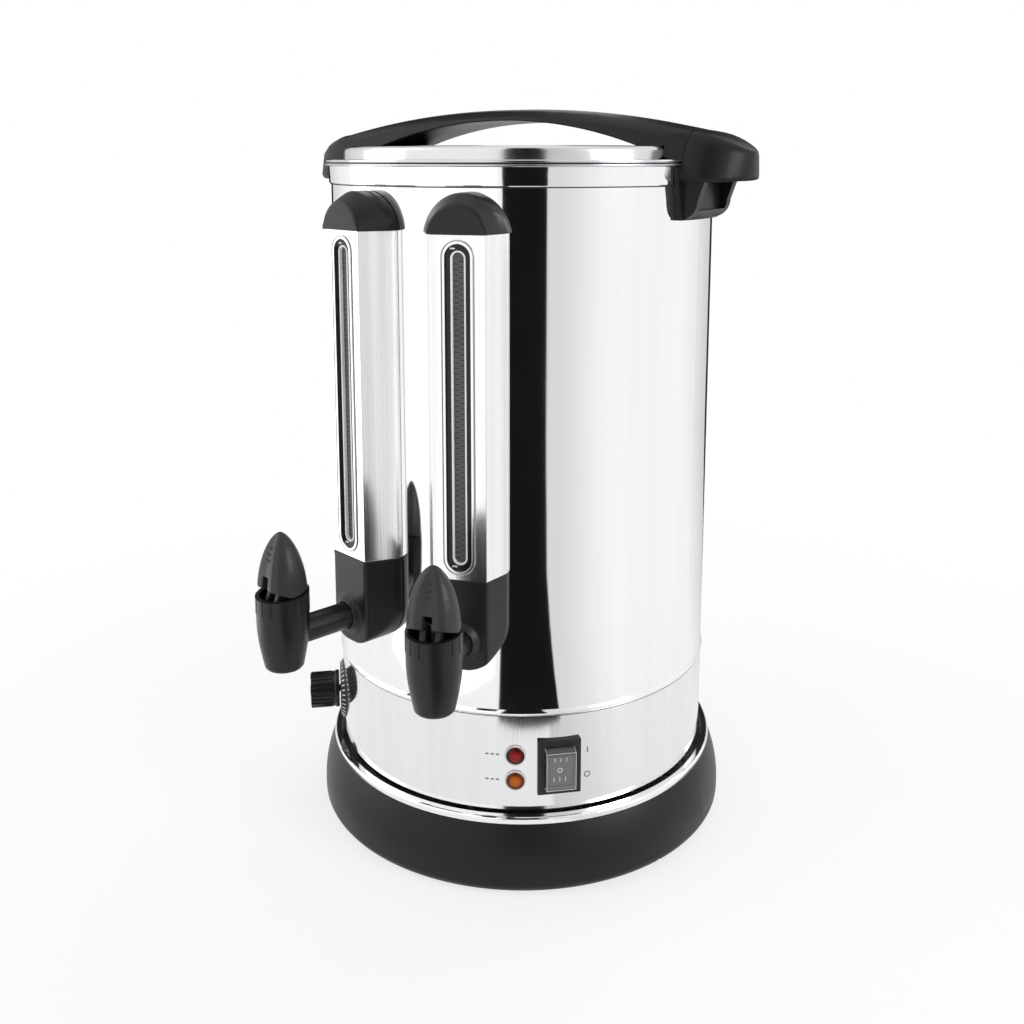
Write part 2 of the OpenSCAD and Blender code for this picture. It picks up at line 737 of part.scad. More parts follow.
module switch_rocker() color("#3a3b3f") at(switch_az) translate([0, -rocker_pivot_v, control_z])
    rotate([rocker_turn, 0, 0]) {
        across(rocker_w) polygon([[rocker_face, rocker_half], [rocker_waist, 0], [rocker_face, -rocker_half],
            [-rocker_root[0], -rocker_root[1]], [-rocker_back, 0], [-rocker_root[0], rocker_root[1]]]);
        rotate([0, 90, 0]) cylinder(h = rocker_w + 2 * rocker_pin_out, r = rocker_pin_r, center = true);
    }

boot_draft = 1.6;
boot_foot_v = panel_v - 0.5;

module boot_shape(inset) across(window_size[0] - 2 * (fit + inset)) let (
        foot = window_size[1] / 2 - fit - inset, top = foot - boot_draft)
    polygon([[boot_foot_v - eps * inset, control_z - foot], [boot_v - inset, control_z - top],
        [boot_v - inset, control_z + top], [boot_foot_v - eps * inset, control_z + foot]]);

module switch_boot() color("#c9cdd1", 0.5) at(switch_az) difference() {
    boot_shape(0);
    boot_shape(boot_wall);
}

lamp_depth = 18;
lens_v = panel_v + 1.2;
lens_seat_v = panel_v + 0.4;
lens_dome = 1.8;
bezel_w = 1.2;
bezel_edge = 0.7;
bezel_v = panel_v + 1;
bezel_top_v = panel_v + 1.7;

// a lamp's stem and its domed lens
module lamp(s, tint) color(tint) at(lamp_az) turned_out(0, lamp_z(s))
    polygon(concat([[0, panel_v - lamp_depth], [lamp_stem_r, panel_v - lamp_depth],
        [lamp_stem_r, lens_seat_v], [lamp_r, lens_seat_v], [lamp_r, lens_v]],
        [for (i = [1:5]) [lamp_r * cos(i * 18), lens_v + lens_dome * sin(i * 18)]]));

module red_lamp() lamp(1, "#a3181c");
module amber_lamp() lamp(-1, "#d9730f");

module lamp_bezels() color("#d8d3cc") for (s = [-1, 1]) at(lamp_az) difference() {
    turned_out(0, lamp_z(s)) polygon([[lamp_r + fit, panel_v - sheet / 2],
        [lamp_r + bezel_w, panel_v - sheet / 2], [lamp_r + bezel_w, bezel_v],
        [lamp_r + bezel_edge, bezel_top_v], [lamp_r + fit, bezel_top_v]]);
    body_space();
}

module dial_plate() color("#17181a") at(knob_az) difference() {
    rod_out(0, panel_v - 4, control_z, dial_r, 4 + dial_t);
    body_space();
    wall_hole(0, control_z, bushing_r + loose);
}

knob_skirt = [0.8, 3];
knob_draft = 0.6;
knob_mark = [2, 15, 1.2];
knob_end_v = knob_v + knob_len;
knob_groove = [knob_r - 3.4, knob_r - 1.6];
knob_groove_depth = 1;
knob_ring_out = 0.4;

// the rectangle that a groove or a ring turns about the knob's axis, between two radii
module knob_band(r, out) turned_out(0, control_z)
    translate([r[0], knob_end_v - knob_groove_depth]) square([r[1] - r[0], knob_groove_depth + out]);

module thermostat_knob() color("#1b1c1e") at(knob_az) difference() {
    union() {
        turned_out(0, control_z) polygon([[0, knob_v], [knob_r + knob_skirt[0], knob_v],
            [knob_r + knob_skirt[0], knob_v + knob_skirt[1]], [knob_r, knob_v + knob_skirt[1] + 1],
            [knob_r - knob_draft, knob_end_v], [0, knob_end_v]]);
        rod_out(0, thermostat_v - shaft_in, control_z, shaft_r, knob_v - thermostat_v + shaft_in + 1);
        translate([-knob_mark[0] / 2, -knob_v - knob_mark[1], control_z + knob_r + 0.3 - knob_mark[2]])
            cube(knob_mark);
    }
    knob_band(knob_groove, 1);
}

module knob_ring() color("#e4e4e6") at(knob_az)
    knob_band(knob_groove + fit * [1, -1], knob_ring_out);

// --- sight-glass columns ---

// the columns' outline seen from above: front face, bevels and sides, set in by a wall
function column_outline(t) = let (
        run = norm([bevel_d, (column_w - face_w) / 2]),
        nu = bevel_d / run, nv = (column_w - face_w) / 2 / run,
        front = (nu * face_w / 2 + nv * column_v - t - nv * (column_v - t)) / nu,
        side = column_w / 2 - t,
        knee = (nu * face_w / 2 + nv * column_v - t - nu * side) / nv, back = body_r - pad_depth)
    [[-front, -(column_v - t)], [front, -(column_v - t)], [side, -knee], [side, -back], [-side, -back],
        [-side, -knee]];

module column_prism(t, z, h) translate([0, 0, z]) linear_extrude(h) polygon(column_outline(t));

// an upright slot with round ends, along the outward direction
module pill(w, z, v, depth) {
    outward(v, depth) translate([-w / 2, z[0] + w / 2]) square([w, z[1] - z[0] - w]);
    for (end = [z[0] + w / 2, z[1] - w / 2]) rod_out(0, v, end, w / 2, depth);
}

lip_w = 2;
lip_out = 0.6;

module column_cover(side) color("#c9cbce") at(side * tap_az) difference() {
    union() {
        difference() {
            column_prism(0, cover_z, cover_top - cover_z);
            column_prism(cover_t, cover_z - 1, cover_top - cover_z + 2);
        }
        pill(slot_w + 2 * lip_w, [slot_z[0] - lip_w, slot_z[1] + lip_w], pane_v, cover_t + lip_out);
    }
    pill(slot_w, slot_z, pane_v - 1, 10);
    body_envelope();
}

cap_out = 1.9;
cap_r = column_w / 2 + cap_out;
cap_front_v = column_v + 1.8;
cap_knee_v = column_v - bevel_d + 1.5;
cap_brow_v = column_v - 11;
cap_brow_drop = 7.5;
cap_z = cap_top - cap_r;
cap_steps = 36;
tube_socket = 8;

// a section of the cap at distance v: what an ellipse shows above the cover's top
function cap_section(v, half_w, h) = let (low = asin((cover_top - cap_z) / h))
    [for (i = [0:cap_steps]) let (a = 180 - low - i * (180 - 2 * low) / cap_steps)
        [half_w * cos(a), -v, cap_z + h * sin(a)]];

// half the cap's width at distance v, along its bevel
function cap_half(v) = cap_r - (v - cap_knee_v) / (cap_front_v - cap_knee_v) * (cap_r - face_w / 2 - cap_out);

// a dome that overhangs the cover by a little all round, with a bevelled brow over its flat front
module column_cap(side) color("#202124") at(side * tap_az) difference() {
    skin([cap_section(body_r - pad_depth, cap_r, cap_r), cap_section(cap_knee_v, cap_r, cap_r),
        cap_section(cap_brow_v, cap_half(cap_brow_v), cap_r),
        cap_section(cap_front_v, cap_half(cap_front_v), cap_r - cap_brow_drop)]);
    translate([0, -tube_v, cover_top - 1]) cylinder(h = tube_socket + 1, r = tube_r + tube_seat);
    body_envelope();
}

block_round = 27;
boss_len = 6;
boss_r1 = shank_r + 5;
boss_r2 = shank_r + 0.8;
tube_way_r = 2;

module tap_block(side) color("#202124") at(side * tap_az) difference() {
    union() {
        intersection() {
            column_prism(0, block_z, block_h);
            outward(body_r - wall_cut, 2 * wall_cut) union() {
                translate([-column_w / 2, block_z + block_round]) square([column_w, block_h]);
                translate([-column_w / 2 + block_round, block_z])
                    square([column_w - 2 * block_round, block_h]);
                for (s = [-1, 1])
                    translate([s * (column_w / 2 - block_round), block_z + block_round]) circle(block_round);
            }
        }
        translate([0, -column_v + eps, shank_z]) rotate([90, 0, 0])
            cylinder(h = boss_len, r1 = boss_r1, r2 = boss_r2);
    }
    wall_hole(0, shank_z, shank_r + fit);
    translate([0, -tube_v, shank_z + shank_r - 3]) cylinder(h = block_h, r = tube_r + tube_seat);
    body_envelope();
}

window_edge = 3.4;

module sight_window(side) color("#1c1d20") at(side * tap_az) difference() {
    outward(pane_v - window_t, window_t) translate([-face_w / 2 + window_edge, cover_z])
        square([face_w - 2 * window_edge, cover_top - cover_z]);
    pill(pill_w + 2 * fit, [slot_z[0] + pill_inset - fit, slot_z[1] - pill_inset + fit], pane_v - 10, 20);
}

pill_out = 0.5;

module window_bezels() color("#f4f4f4") for (s = [-1, 1]) at(s * tap_az) difference() {
    pill(pill_w, [slot_z[0] + pill_inset, slot_z[1] - pill_inset], pane_v - window_t, window_t + pill_out);
    pill(pill_w - 2 * pill_line, [slot_z[0] + pill_inset + pill_line, slot_z[1] - pill_inset - pill_line],
        pane_v - 10, 20);
}

tube_z = [shank_z + shank_r + 1.5, cover_top + tube_socket - 2];
low_seal = [cover_z - 9, 6];
high_seal = [cover_top + 1, 4];
seal_fit = 0.02;
shank_seal_t = 6;

module sight_tube(side) color("#9aa0a3", 0.6) at(side * tap_az) translate([0, -tube_v, 0])
    ring(tube_r, tube_r - tube_wall, tube_z[0], tube_z[1] - tube_z[0]);

// the sleeves at both ends of each tube, and the washers inside and outside the tank's wall
module silicone_seals() color("#d9d5cb") for (s = [-1, 1]) at(s * tap_az) {
    for (z = [low_seal, high_seal]) translate([0, -tube_v, 0])
        ring(tube_r + tube_seat - seal_fit, tube_r + seal_fit, z[0], z[1]);
    for (v = [[tank_face_v - washer_t, washer_t], [tank_r + fit, shank_seal_t - fit]])
        turned_out(0, shank_z) translate([shank_r + fit, v[0]]) square([washer_r - shank_r - fit, v[1]]);
}

nut_r = 17;

module shank_nuts() color("#c3b27a") for (s = [-1, 1]) at(s * tap_az) difference() {
    translate([0, -(tank_face_v - washer_t - nut_h), shank_z]) rotate([90, 0, 0])
        cylinder(h = nut_h, r = nut_r, $fn = 6);
    rod_out(0, shank_end_v - 5, shank_z, shank_r + fit, wall_cut);
}

// --- taps ---

mouth_r = spout_r + 2.5;
toe_r = barrel_r - 4.6;
toe_h = 4;
brim_h = 6;

// a cup-like body that narrows to a rounded spout, on a hollow shank
module tap_barrel(side) color("#202124") at(side * tap_az) difference() {
    union() {
        translate([0, -tap_v, 0]) rotate_extrude() polygon(concat(
            [[0, spout_z], [mouth_r, spout_z]],
            [for (i = [0:4]) [mix(mouth_r, toe_r, sin(i * 22.5)), spout_z + toe_h * (1 - cos(i * 22.5))]],
            [for (i = [1:6])
                [mix(toe_r, barrel_r, sin(i * 15)), mix(spout_z + toe_h, bonnet_z - brim_h, i / 6)]],
            [[barrel_r, bonnet_z], [0, bonnet_z]]));
        rod_out(0, shank_end_v, shank_z, shank_r, tap_v - shank_end_v - chamber_r - 1);
    }
    rod_out(0, shank_end_v - 5, shank_z, water_r, tap_v - shank_end_v);
    translate([0, -tap_v, spout_z - 1]) cylinder(h = barrel_up + barrel_down, r = spout_r);
    translate([0, -tap_v, seat_z]) cylinder(h = barrel_up + barrel_down, r = chamber_r);
    translate([0, -tap_v, bonnet_z - spigot_h]) cylinder(h = spigot_h + 1, r = spigot_r);
    translate([0, -tube_v, shank_z]) cylinder(h = shank_r + 5, r = tube_way_r);
}

rib_count = 16;
rib_groove_r = 0.8;
rib_low = 1.5;

// a slab between two levels, low and high, over the slanted plane that the cup's rim has at z
module rim_slab(z, low, high) translate([0, -cup_r, z]) rotate([atan(cup_slope / (2 * cup_r)), 0, 0])
    translate([-2 * cup_r, -cup_r, low]) cube([4 * cup_r, 4 * cup_r, high - low]);

module tap_collar(side) color("#26272a") at(side * tap_az) translate([0, -tap_v, 0]) difference() {
    union() {
        translate([0, 0, bonnet_z]) cylinder(h = bonnet_h + cup_slope, r = cup_r);
        translate([0, 0, bonnet_z - spigot_h + gap]) cylinder(h = spigot_h, r = spigot_r - fit);
    }
    translate([0, 0, cup_floor]) cylinder(h = 2 * bonnet_h, r = cup_r - cup_wall);
    translate([0, 0, bonnet_z - 2 * spigot_h]) cylinder(h = 4 * spigot_h, r = stem_r + fit);
    rim_slab(cup_z, 0, 2 * bonnet_h);
    for (i = [0:rib_count - 1]) rotate([0, 0, (i + 0.5) * 360 / rib_count])
        translate([0, -cup_r - 0.3, bonnet_z + rib_low])
        cylinder(h = 2 * bonnet_h, r = rib_groove_r, $fn = 16);
}

stem_root = 3;

module valve_stem(side) color("#c7c8ca") at(side * tap_az) translate([0, -tap_v, 0]) {
    translate([0, 0, seat_z + stem_root]) cylinder(h = pin_z - seat_z - stem_root, r = stem_r);
    translate([0, 0, pin_z]) sphere(r = stem_r);
    translate([0, 0, pin_z]) rotate([0, 90, 0]) cylinder(h = pin_len, r = pin_r, center = true);
}

plug_clear = 2.2;

module valve_plug(side) color("#b8513a") at(side * tap_az) translate([0, -tap_v, 0]) difference() {
    translate([0, 0, seat_z]) cylinder(h = plug_h, r = chamber_r - plug_clear);
    translate([0, 0, seat_z + stem_root]) cylinder(h = plug_h, r = stem_r + seal_fit);
}

coil_r = 5.2;
coil_wire = 0.6;
coil_turns = 4;
coil_steps = 12;
coil_gap = 0.1;

// a hexagonal section of the spring's wire, one for each step along its coil
function coil_ring(i) = let (
        a = i * 360 / coil_steps,
        low = seat_z + plug_h + coil_wire + coil_gap,
        high = bonnet_z - spigot_h + gap - coil_wire - coil_gap,
        c = [coil_r * cos(a), coil_r * sin(a), mix(low, high, i / (coil_turns * coil_steps))])
    [for (k = [0:5]) c + coil_wire * [cos(k * 60) * cos(a), cos(k * 60) * sin(a), sin(k * 60)]];

module valve_spring(side) color("#d0d1d3") at(side * tap_az) translate([0, -tap_v, 0])
    skin([for (i = [0:coil_turns * coil_steps]) coil_ring(i)]);

leaf_points = 24;
leaf_low = cup_z + 1;
leaf_levels = [0, 0.09, 0.2, 0.32, 0.44, 0.56, 0.67, 0.77, 0.86, 0.93, 0.97, 0.995];
leaf_thin = 0.86;
face_angle = 33;
face_hollow = 0.05;

// a level of the lever's leaf: round at the back, flattened and a little hollow at the front

function leaf_level(s) = let (
        w = lever_r * pow(1 - pow(s, 2.2), 0.62), d = w * mix(1, leaf_thin, s),
        z = mix(leaf_low, cup_z + lever_h, s))
    [for (i = [0:leaf_points - 1]) let (
            a = -90 - i * 360 / leaf_points,
            off = min(i, leaf_points - i) * 360 / leaf_points,
            flat = off < face_angle
                ? cos(face_angle) / cos(off) - face_hollow * (1 - off / face_angle) : 1)
        [w * flat * cos(a), d * flat * sin(a), z]];

// the cam under the lever: its reach below the pin grows with the tilt
cam_reach = pin_z - cup_floor - gap;
function cam_point(a) = let (p = cam_reach + lift_rate * a * PI / 180)
    [p * sin(a) + lift_rate * cos(a), -p * cos(a) + lift_rate * sin(a)];

cam_w = 15;
cam_back = 5;
cam_round = 1.5;
cam_front = [6, 4];
cam_up = 3;
heel_cut = [4.6, 22];
slot_top = pin_z + 10;

// the leaf, cut away to clear the cup's rim, and the slotted cam that works on the cross pin
module tap_lever(side) color("#2b2c2f") at(side * tap_az) translate([0, -tap_v, 0]) difference() {
    union() {
        difference() {
            skin([for (s = leaf_levels) leaf_level(s)]);
            translate([0, 0, pin_z - heel_cut[0]]) rotate([-heel_cut[1], 0, 0])
                translate([-2 * cup_r, -4 * cup_r, -cup_r]) cube([4 * cup_r, 4 * cup_r, cup_r]);
            rim_slab(cup_z + 2 * gap, -2 * bonnet_h, 0);
        }
        intersection() {
            translate([0, 0, pin_z]) across(cam_w) polygon(concat(
                [[-cam_back, cam_up], [-cam_back, cam_round - cam_reach], [cam_round - cam_back, -cam_reach],
                    [lift_rate, -cam_reach]],
                [for (i = [1:8]) cam_point(tilt_max * i / 8)], [[cam_front[0], 0], [cam_front[1], cam_up]]));
            cylinder(h = 2 * pin_z, r = cup_r - cup_wall - gap);
        }
    }
    translate([-lever_slot / 2, -2 * cup_r, cup_floor - 5])
        cube([lever_slot, 2 * cup_r + stem_r + 2 * gap, slot_top - cup_floor + 5]);
    translate([0, 0, pin_z]) rotate([0, 90, 0]) cylinder(h = pin_len + gap, r = pin_r + fit, center = true);
}

// --- lid ---

gasket_in = 1.5;
gasket_out = 2;

module lid_gasket() color("#cfcac0")
    ring(rim_r - rim_roll_w - gasket_out, lid_r + gasket_in, gasket_z, gasket_t);

module lid_shell() color("#e9eaec") difference() {
    lid_form();
    for (s = [-1, 1], v = lid_screw_v) translate([s * v, 0, lid_z - 2 * sheet])
        cylinder(h = 4 * sheet, r = screw_r + loose);
}

module lid_form() rotate_extrude() polygon(concat(
    [[0, lid_z - sheet], [plug_r - sheet, lid_z - sheet], [plug_r - sheet, gasket_z - lid_plug_h],
        [plug_r, gasket_z - lid_plug_h], [plug_r, lid_z - sheet], [lid_r - lid_round, lid_z - sheet]],
    arc([lid_r - lid_round, lid_z - lid_round], lid_round - sheet, 90, 0, 6),
    [[lid_r - sheet, flange_z], [rim_r - rim_roll_w, flange_z], [rim_r - rim_roll_w, flange_top - rim_roll]],
    arc([rim_r - rim_roll / 2, flange_top - rim_roll / 2], rim_roll / 2, -90, 90, 6),
    [[rim_r - rim_roll_w, flange_top], [lid_r, flange_top]],
    arc([lid_r - lid_round, lid_z - lid_round], lid_round, 0, 90, 6),
    [[0, lid_z]]));

// what the lid fills, down past the foot of its arch
module lid_envelope() rotate_extrude() polygon([[0, collar_z], [rim_r + 1, collar_z],
    [rim_r + 1, flange_top], [lid_r + fit, flange_top], [lid_r + fit, lid_z], [0, lid_z]]);

lid_screw_depth = 7;
lid_screw_head = [3.8, 2];
arch_steps = 20;
arch_foot = 0.8;

module lid_handle() color("#232427") difference() {
    intersection() {
        skin([for (i = [-arch_steps:arch_steps]) let (v = (seam_r + 3) * i / arch_steps)
            handle_section(v, low_z0 - sag(low_drop, v), side_z0 - sag(side_drop, v),
                crest_z0 - sag(top_drop, v), 1, arch_foot)]);
        cylinder(h = 2 * lid_z, r = rim_r - 0.1);
    }
    lid_envelope();
    for (s = [-1, 1], v = lid_screw_v) translate([s * v, 0, lid_z - 1])
        cylinder(h = lid_screw_depth + 1, r = screw_r + fit);
}

module lid_screws() color("#b9babc") for (s = [-1, 1], v = lid_screw_v)
    translate([s * v, 0, lid_z - sheet - lid_screw_head[1]]) {
        cylinder(h = lid_screw_head[1], r = lid_screw_head[0]);
        cylinder(h = lid_screw_head[1] + sheet + lid_screw_depth - 1, r = screw_r);
    }

base_skirt();
base_ring();
bottom_plate();
feet();
base_screws();
tie_rods();
lower_housing();
outer_body();
top_collar();
inner_tank();
tank_floor();
heat_spreader();
heating_element();
thermal_cutout();
thermostat_body();
thermostat_bulb();
terminal_block();
wiring();
cord_gland();
side_handle(-1);  // side_handle_left
side_handle(1);  // side_handle_right
handle_screws();
switch_frame();
switch_rocker();
switch_boot();
red_lamp();
amber_lamp();
lamp_bezels();
dial_plate();
thermostat_knob();
knob_ring();
column_cover(-1);  // column_cover_left
column_cover(1);  // column_cover_right
column_cap(-1);  // column_cap_left
column_cap(1);  // column_cap_right
tap_block(-1);  // tap_block_left
tap_block(1);  // tap_block_right
sight_window(-1);  // sight_window_left
sight_window(1);  // sight_window_right
sight_tube(-1);  // sight_tube_left
sight_tube(1);  // sight_tube_right
window_bezels();
silicone_seals();
shank_nuts();
tap_barrel(-1);  // tap_barrel_left
tap_barrel(1);  // tap_barrel_right
tap_collar(-1);  // tap_collar_left
tap_collar(1);  // tap_collar_right
valve_stem(-1);  // valve_stem_left
valve_stem(1);  // valve_stem_right
valve_plug(-1);  // valve_plug_left
valve_plug(1);  // valve_plug_right
valve_spring(-1);  // valve_spring_left
valve_spring(1);  // valve_spring_right
tap_lever(-1);  // tap_lever_left
tap_lever(1);  // tap_lever_right
lid_gasket();
lid_shell();
lid_handle();
lid_screws();
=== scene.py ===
import math
import bmesh
import bpy
from mathutils import Matrix, Vector


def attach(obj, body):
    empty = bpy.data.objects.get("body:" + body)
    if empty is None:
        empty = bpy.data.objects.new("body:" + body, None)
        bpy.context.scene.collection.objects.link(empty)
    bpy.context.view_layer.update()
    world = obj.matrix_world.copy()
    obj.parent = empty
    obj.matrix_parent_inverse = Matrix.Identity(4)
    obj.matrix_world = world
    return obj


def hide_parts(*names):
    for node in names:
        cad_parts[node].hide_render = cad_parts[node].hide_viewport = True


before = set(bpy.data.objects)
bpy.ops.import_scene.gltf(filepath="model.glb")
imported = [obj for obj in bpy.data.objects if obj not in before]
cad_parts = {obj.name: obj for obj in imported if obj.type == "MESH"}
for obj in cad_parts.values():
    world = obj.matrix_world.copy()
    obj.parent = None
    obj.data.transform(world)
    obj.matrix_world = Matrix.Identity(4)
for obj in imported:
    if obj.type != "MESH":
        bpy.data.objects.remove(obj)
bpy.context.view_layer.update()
scene = bpy.context.scene
scene.view_settings.view_transform = "Standard"

# --- studio: camera, light and table ---
# The camera stands 30 degrees to the right of the front, level with the urn's rim, and looks
# slightly down. The urn stands on a white table in white surroundings. Black, grey and bright cards
# that only reflections see shade its polished steel.

CAMERA_TURN = math.radians(30)
CAMERA_REACH = 0.9405
CAMERA_HEIGHT = 0.5445
CAMERA_PITCH = math.radians(9.34)
CAMERA_SWING = math.radians(0.5)
SENSOR_WIDTH = 36
LENS_LENGTH = 39.79
LENS_SHIFT = -0.163

camera_data = bpy.data.cameras.new("camera")
camera_data.sensor_width = SENSOR_WIDTH
camera_data.lens = LENS_LENGTH
camera_data.shift_y = LENS_SHIFT
camera = bpy.data.objects.new("camera", camera_data)
camera.location = (CAMERA_REACH * math.sin(CAMERA_TURN), -CAMERA_REACH * math.cos(CAMERA_TURN),
                   CAMERA_HEIGHT)
camera.rotation_euler = (math.pi / 2 - CAMERA_PITCH, 0, CAMERA_TURN + CAMERA_SWING)
scene.collection.objects.link(camera)
scene.camera = camera


def node_tools(tree):
    """Two functions for a node tree: one adds a node with its values, and one links two sockets."""

    def add(kind, **settings):
        node = tree.nodes.new(kind)
        for key, value in settings.items():
            if key in node.inputs:
                node.inputs[key].default_value = value
            else:
                setattr(node, key, value)
        return node

    return add, tree.links.new


def emptied(owner):
    """The two functions for the emptied node tree of a world or a material."""
    owner.use_nodes = True
    owner.node_tree.nodes.clear()
    return node_tools(owner.node_tree)


def spread(add, low, high, to_low=0.0, to_high=1.0, **settings):
    """A node that moves values from between low and high to between to_low and to_high."""
    ends = {"From Min": low, "From Max": high, "To Min": to_low, "To Max": to_high}
    return add("ShaderNodeMapRange", **ends, **settings)


ROOM_TINT = (0.95, 0.97, 1, 1)
ROOM_LIGHT = 0.62

world = bpy.data.worlds.new("studio")
scene.world = world
add, link = emptied(world)
seen = add("ShaderNodeBackground", Color=(1, 1, 1, 1), Strength=1.0)
lighting = add("ShaderNodeBackground", Color=ROOM_TINT, Strength=ROOM_LIGHT)
ray = add("ShaderNodeLightPath")
shiny = add("ShaderNodeMath", operation="MAXIMUM")
shown = add("ShaderNodeMath", operation="MAXIMUM")
mixed = add("ShaderNodeMixShader")
link(ray.outputs["Is Glossy Ray"], shiny.inputs[0])
link(ray.outputs["Is Transmission Ray"], shiny.inputs[1])
link(ray.outputs["Is Camera Ray"], shown.inputs[0])
link(shiny.outputs[0], shown.inputs[1])
link(shown.outputs[0], mixed.inputs[0])
link(lighting.outputs[0], mixed.inputs[1])
link(seen.outputs[0], mixed.inputs[2])
link(mixed.outputs[0], add("ShaderNodeOutputWorld").inputs[0])

LAMP_AIM = Vector((0, 0, 0.3))


def lamp(name, place, size, watts):
    """A square soft light that faces the middle of the urn."""
    data = bpy.data.lights.new(name, "AREA")
    data.size = size
    data.energy = watts
    light = bpy.data.objects.new(name, data)
    light.location = place
    light.rotation_euler = (LAMP_AIM - Vector(place)).to_track_quat("-Z", "Y").to_euler()
    scene.collection.objects.link(light)


lamp("key_light", place=(-1.5, -1.4, 1.8), size=1.2, watts=15)
lamp("side_light", place=(2.2, -0.2, 1.0), size=1.0, watts=18)
lamp("back_light", place=(0.2, 1.9, 1.6), size=1.4, watts=12)


def leave_edit_mode():
    """Closes edit mode if it is open, and deselects everything."""
    if bpy.context.object and bpy.context.object.mode == "EDIT":
        bpy.ops.object.mode_set(mode="OBJECT")
    bpy.ops.object.select_all(action="DESELECT")


def fix_place():
    """Puts the place, turn and size of what is selected in its mesh."""
    bpy.ops.object.transform_apply(location=True, rotation=True, scale=True)


def start(primitive, **where):
    """Adds a primitive with nothing else selected and opens it in edit mode, selected all over."""
    leave_edit_mode()
    primitive(**where)
    fix_place()
    bpy.ops.object.mode_set(mode="EDIT")
    bpy.ops.mesh.select_all(action="SELECT")
    return bpy.context.object


def settle(piece, name, material, angle=35, turn=0):
    """Turns a piece round the urn, puts its place in its mesh, and names and shades it."""
    leave_edit_mode()
    piece.select_set(True)
    bpy.context.view_layer.objects.active = piece
    if turn:
        fix_place()
        piece.rotation_euler = (0, 0, math.radians(turn))
    fix_place()
    if angle:
        bpy.ops.object.shade_smooth_by_angle(angle=math.radians(angle))
    piece.name = name
    piece.data.materials.clear()
    piece.data.materials.append(material)
    return piece


TABLE_SIZE = 9.0
TABLE_PAINT = (0.93, 0.93, 0.93, 1)
TABLE_GLOW = 0.74
SHADOW_CORE = 0.25
SHADOW_REACH = 0.85

# The table glows white to the camera and to reflections, but less near the urn, where it keeps a
# shadow.
tabletop = bpy.data.materials.new("white_table")
add, link = emptied(tabletop)
paint = add("ShaderNodeBsdfDiffuse", Color=TABLE_PAINT)
glow = add("ShaderNodeEmission", Color=(1, 1, 1, 1), Strength=1.0)
ray = add("ShaderNodeLightPath")
shown = add("ShaderNodeMath", operation="MAXIMUM")
share = add("ShaderNodeMath", operation="MULTIPLY")
reach = add("ShaderNodeVectorMath", operation="LENGTH")
fade = spread(add, SHADOW_CORE, SHADOW_REACH, TABLE_GLOW, 1.0, interpolation_type="SMOOTHSTEP")
mixed = add("ShaderNodeMixShader")
link(add("ShaderNodeTexCoord").outputs["Object"], reach.inputs[0])
link(reach.outputs["Value"], fade.inputs["Value"])
link(fade.outputs[0], share.inputs[1])
link(ray.outputs["Is Camera Ray"], shown.inputs[0])
link(ray.outputs["Is Glossy Ray"], shown.inputs[1])
link(shown.outputs[0], share.inputs[0])
link(share.outputs[0], mixed.inputs[0])
link(paint.outputs[0], mixed.inputs[1])
link(glow.outputs[0], mixed.inputs[2])
link(mixed.outputs[0], add("ShaderNodeOutputMaterial").inputs[0])

table = start(bpy.ops.mesh.primitive_plane_add, size=TABLE_SIZE)
bpy.ops.mesh.subdivide(number_cuts=3)
settle(table, "table", tabletop)

# The cards lie on the table round the urn and stand up where they end, and only reflections see
# them. Black ones in front draw the long dark stripe and widen its foot, and black ones far behind
# draw a fine dark line down the body's edges. Grey ones shade it, and bright ones light the left.
CRISP = 0.001
SOFT = 0.999


def card(name, tone, turns, near=0.2, far=1.6, height=3.2, fades=(CRISP, CRISP), widened=(0, 0),
         lift=0.002):
    """A lying and a standing card over the same turns, in degrees from the camera's side.

    Its two sides fade over the given shares of its width. The lying card is wider at its near end,
    by the degrees that widened gives for its two sides.
    """
    surface = bpy.data.materials.new(name)
    add, link = emptied(surface)
    glow = add("ShaderNodeEmission", Color=(tone, tone, tone, 1), Strength=1.0)
    across = add("ShaderNodeSeparateXYZ")
    filled = add("ShaderNodeMath", operation="MULTIPLY")
    mixed = add("ShaderNodeMixShader")
    link(add("ShaderNodeTexCoord").outputs["UV"], across.inputs[0])
    for i, edge, full in ((0, 0.0, fades[0]), (1, 1.0, 1.0 - fades[1])):
        side = spread(add, edge, full, interpolation_type="SMOOTHSTEP")
        link(across.outputs["X"], side.inputs["Value"])
        link(side.outputs[0], filled.inputs[i])
    link(filled.outputs[0], mixed.inputs[0])
    link(add("ShaderNodeBsdfTransparent").outputs[0], mixed.inputs[1])
    link(glow.outputs[0], mixed.inputs[2])
    link(mixed.outputs[0], add("ShaderNodeOutputMaterial").inputs[0])
    near_turns = (turns[0] - widened[0], turns[1] + widened[1])
    corners = {"lying": ((near, lift, near_turns), (far, lift, turns)),
               "standing": ((far, 0.0, turns), (far, height, turns))}
    for pose, ends in corners.items():
        piece = start(bpy.ops.mesh.primitive_plane_add, size=1)
        places = [(turn, reach, level) for reach, level, sides in ends for turn in sides]
        for corner, (turn, reach, level) in zip(bmesh.from_edit_mesh(piece.data).verts, places):
            angle = CAMERA_TURN + math.radians(turn)
            corner.co = (reach * math.sin(angle), -reach * math.cos(angle), level)
        bpy.ops.mesh.subdivide(number_cuts=2)
        settle(piece, name + "_" + pose, surface)
        piece.visible_camera = False
        piece.visible_diffuse = False
        piece.visible_transmission = False
        piece.visible_shadow = False


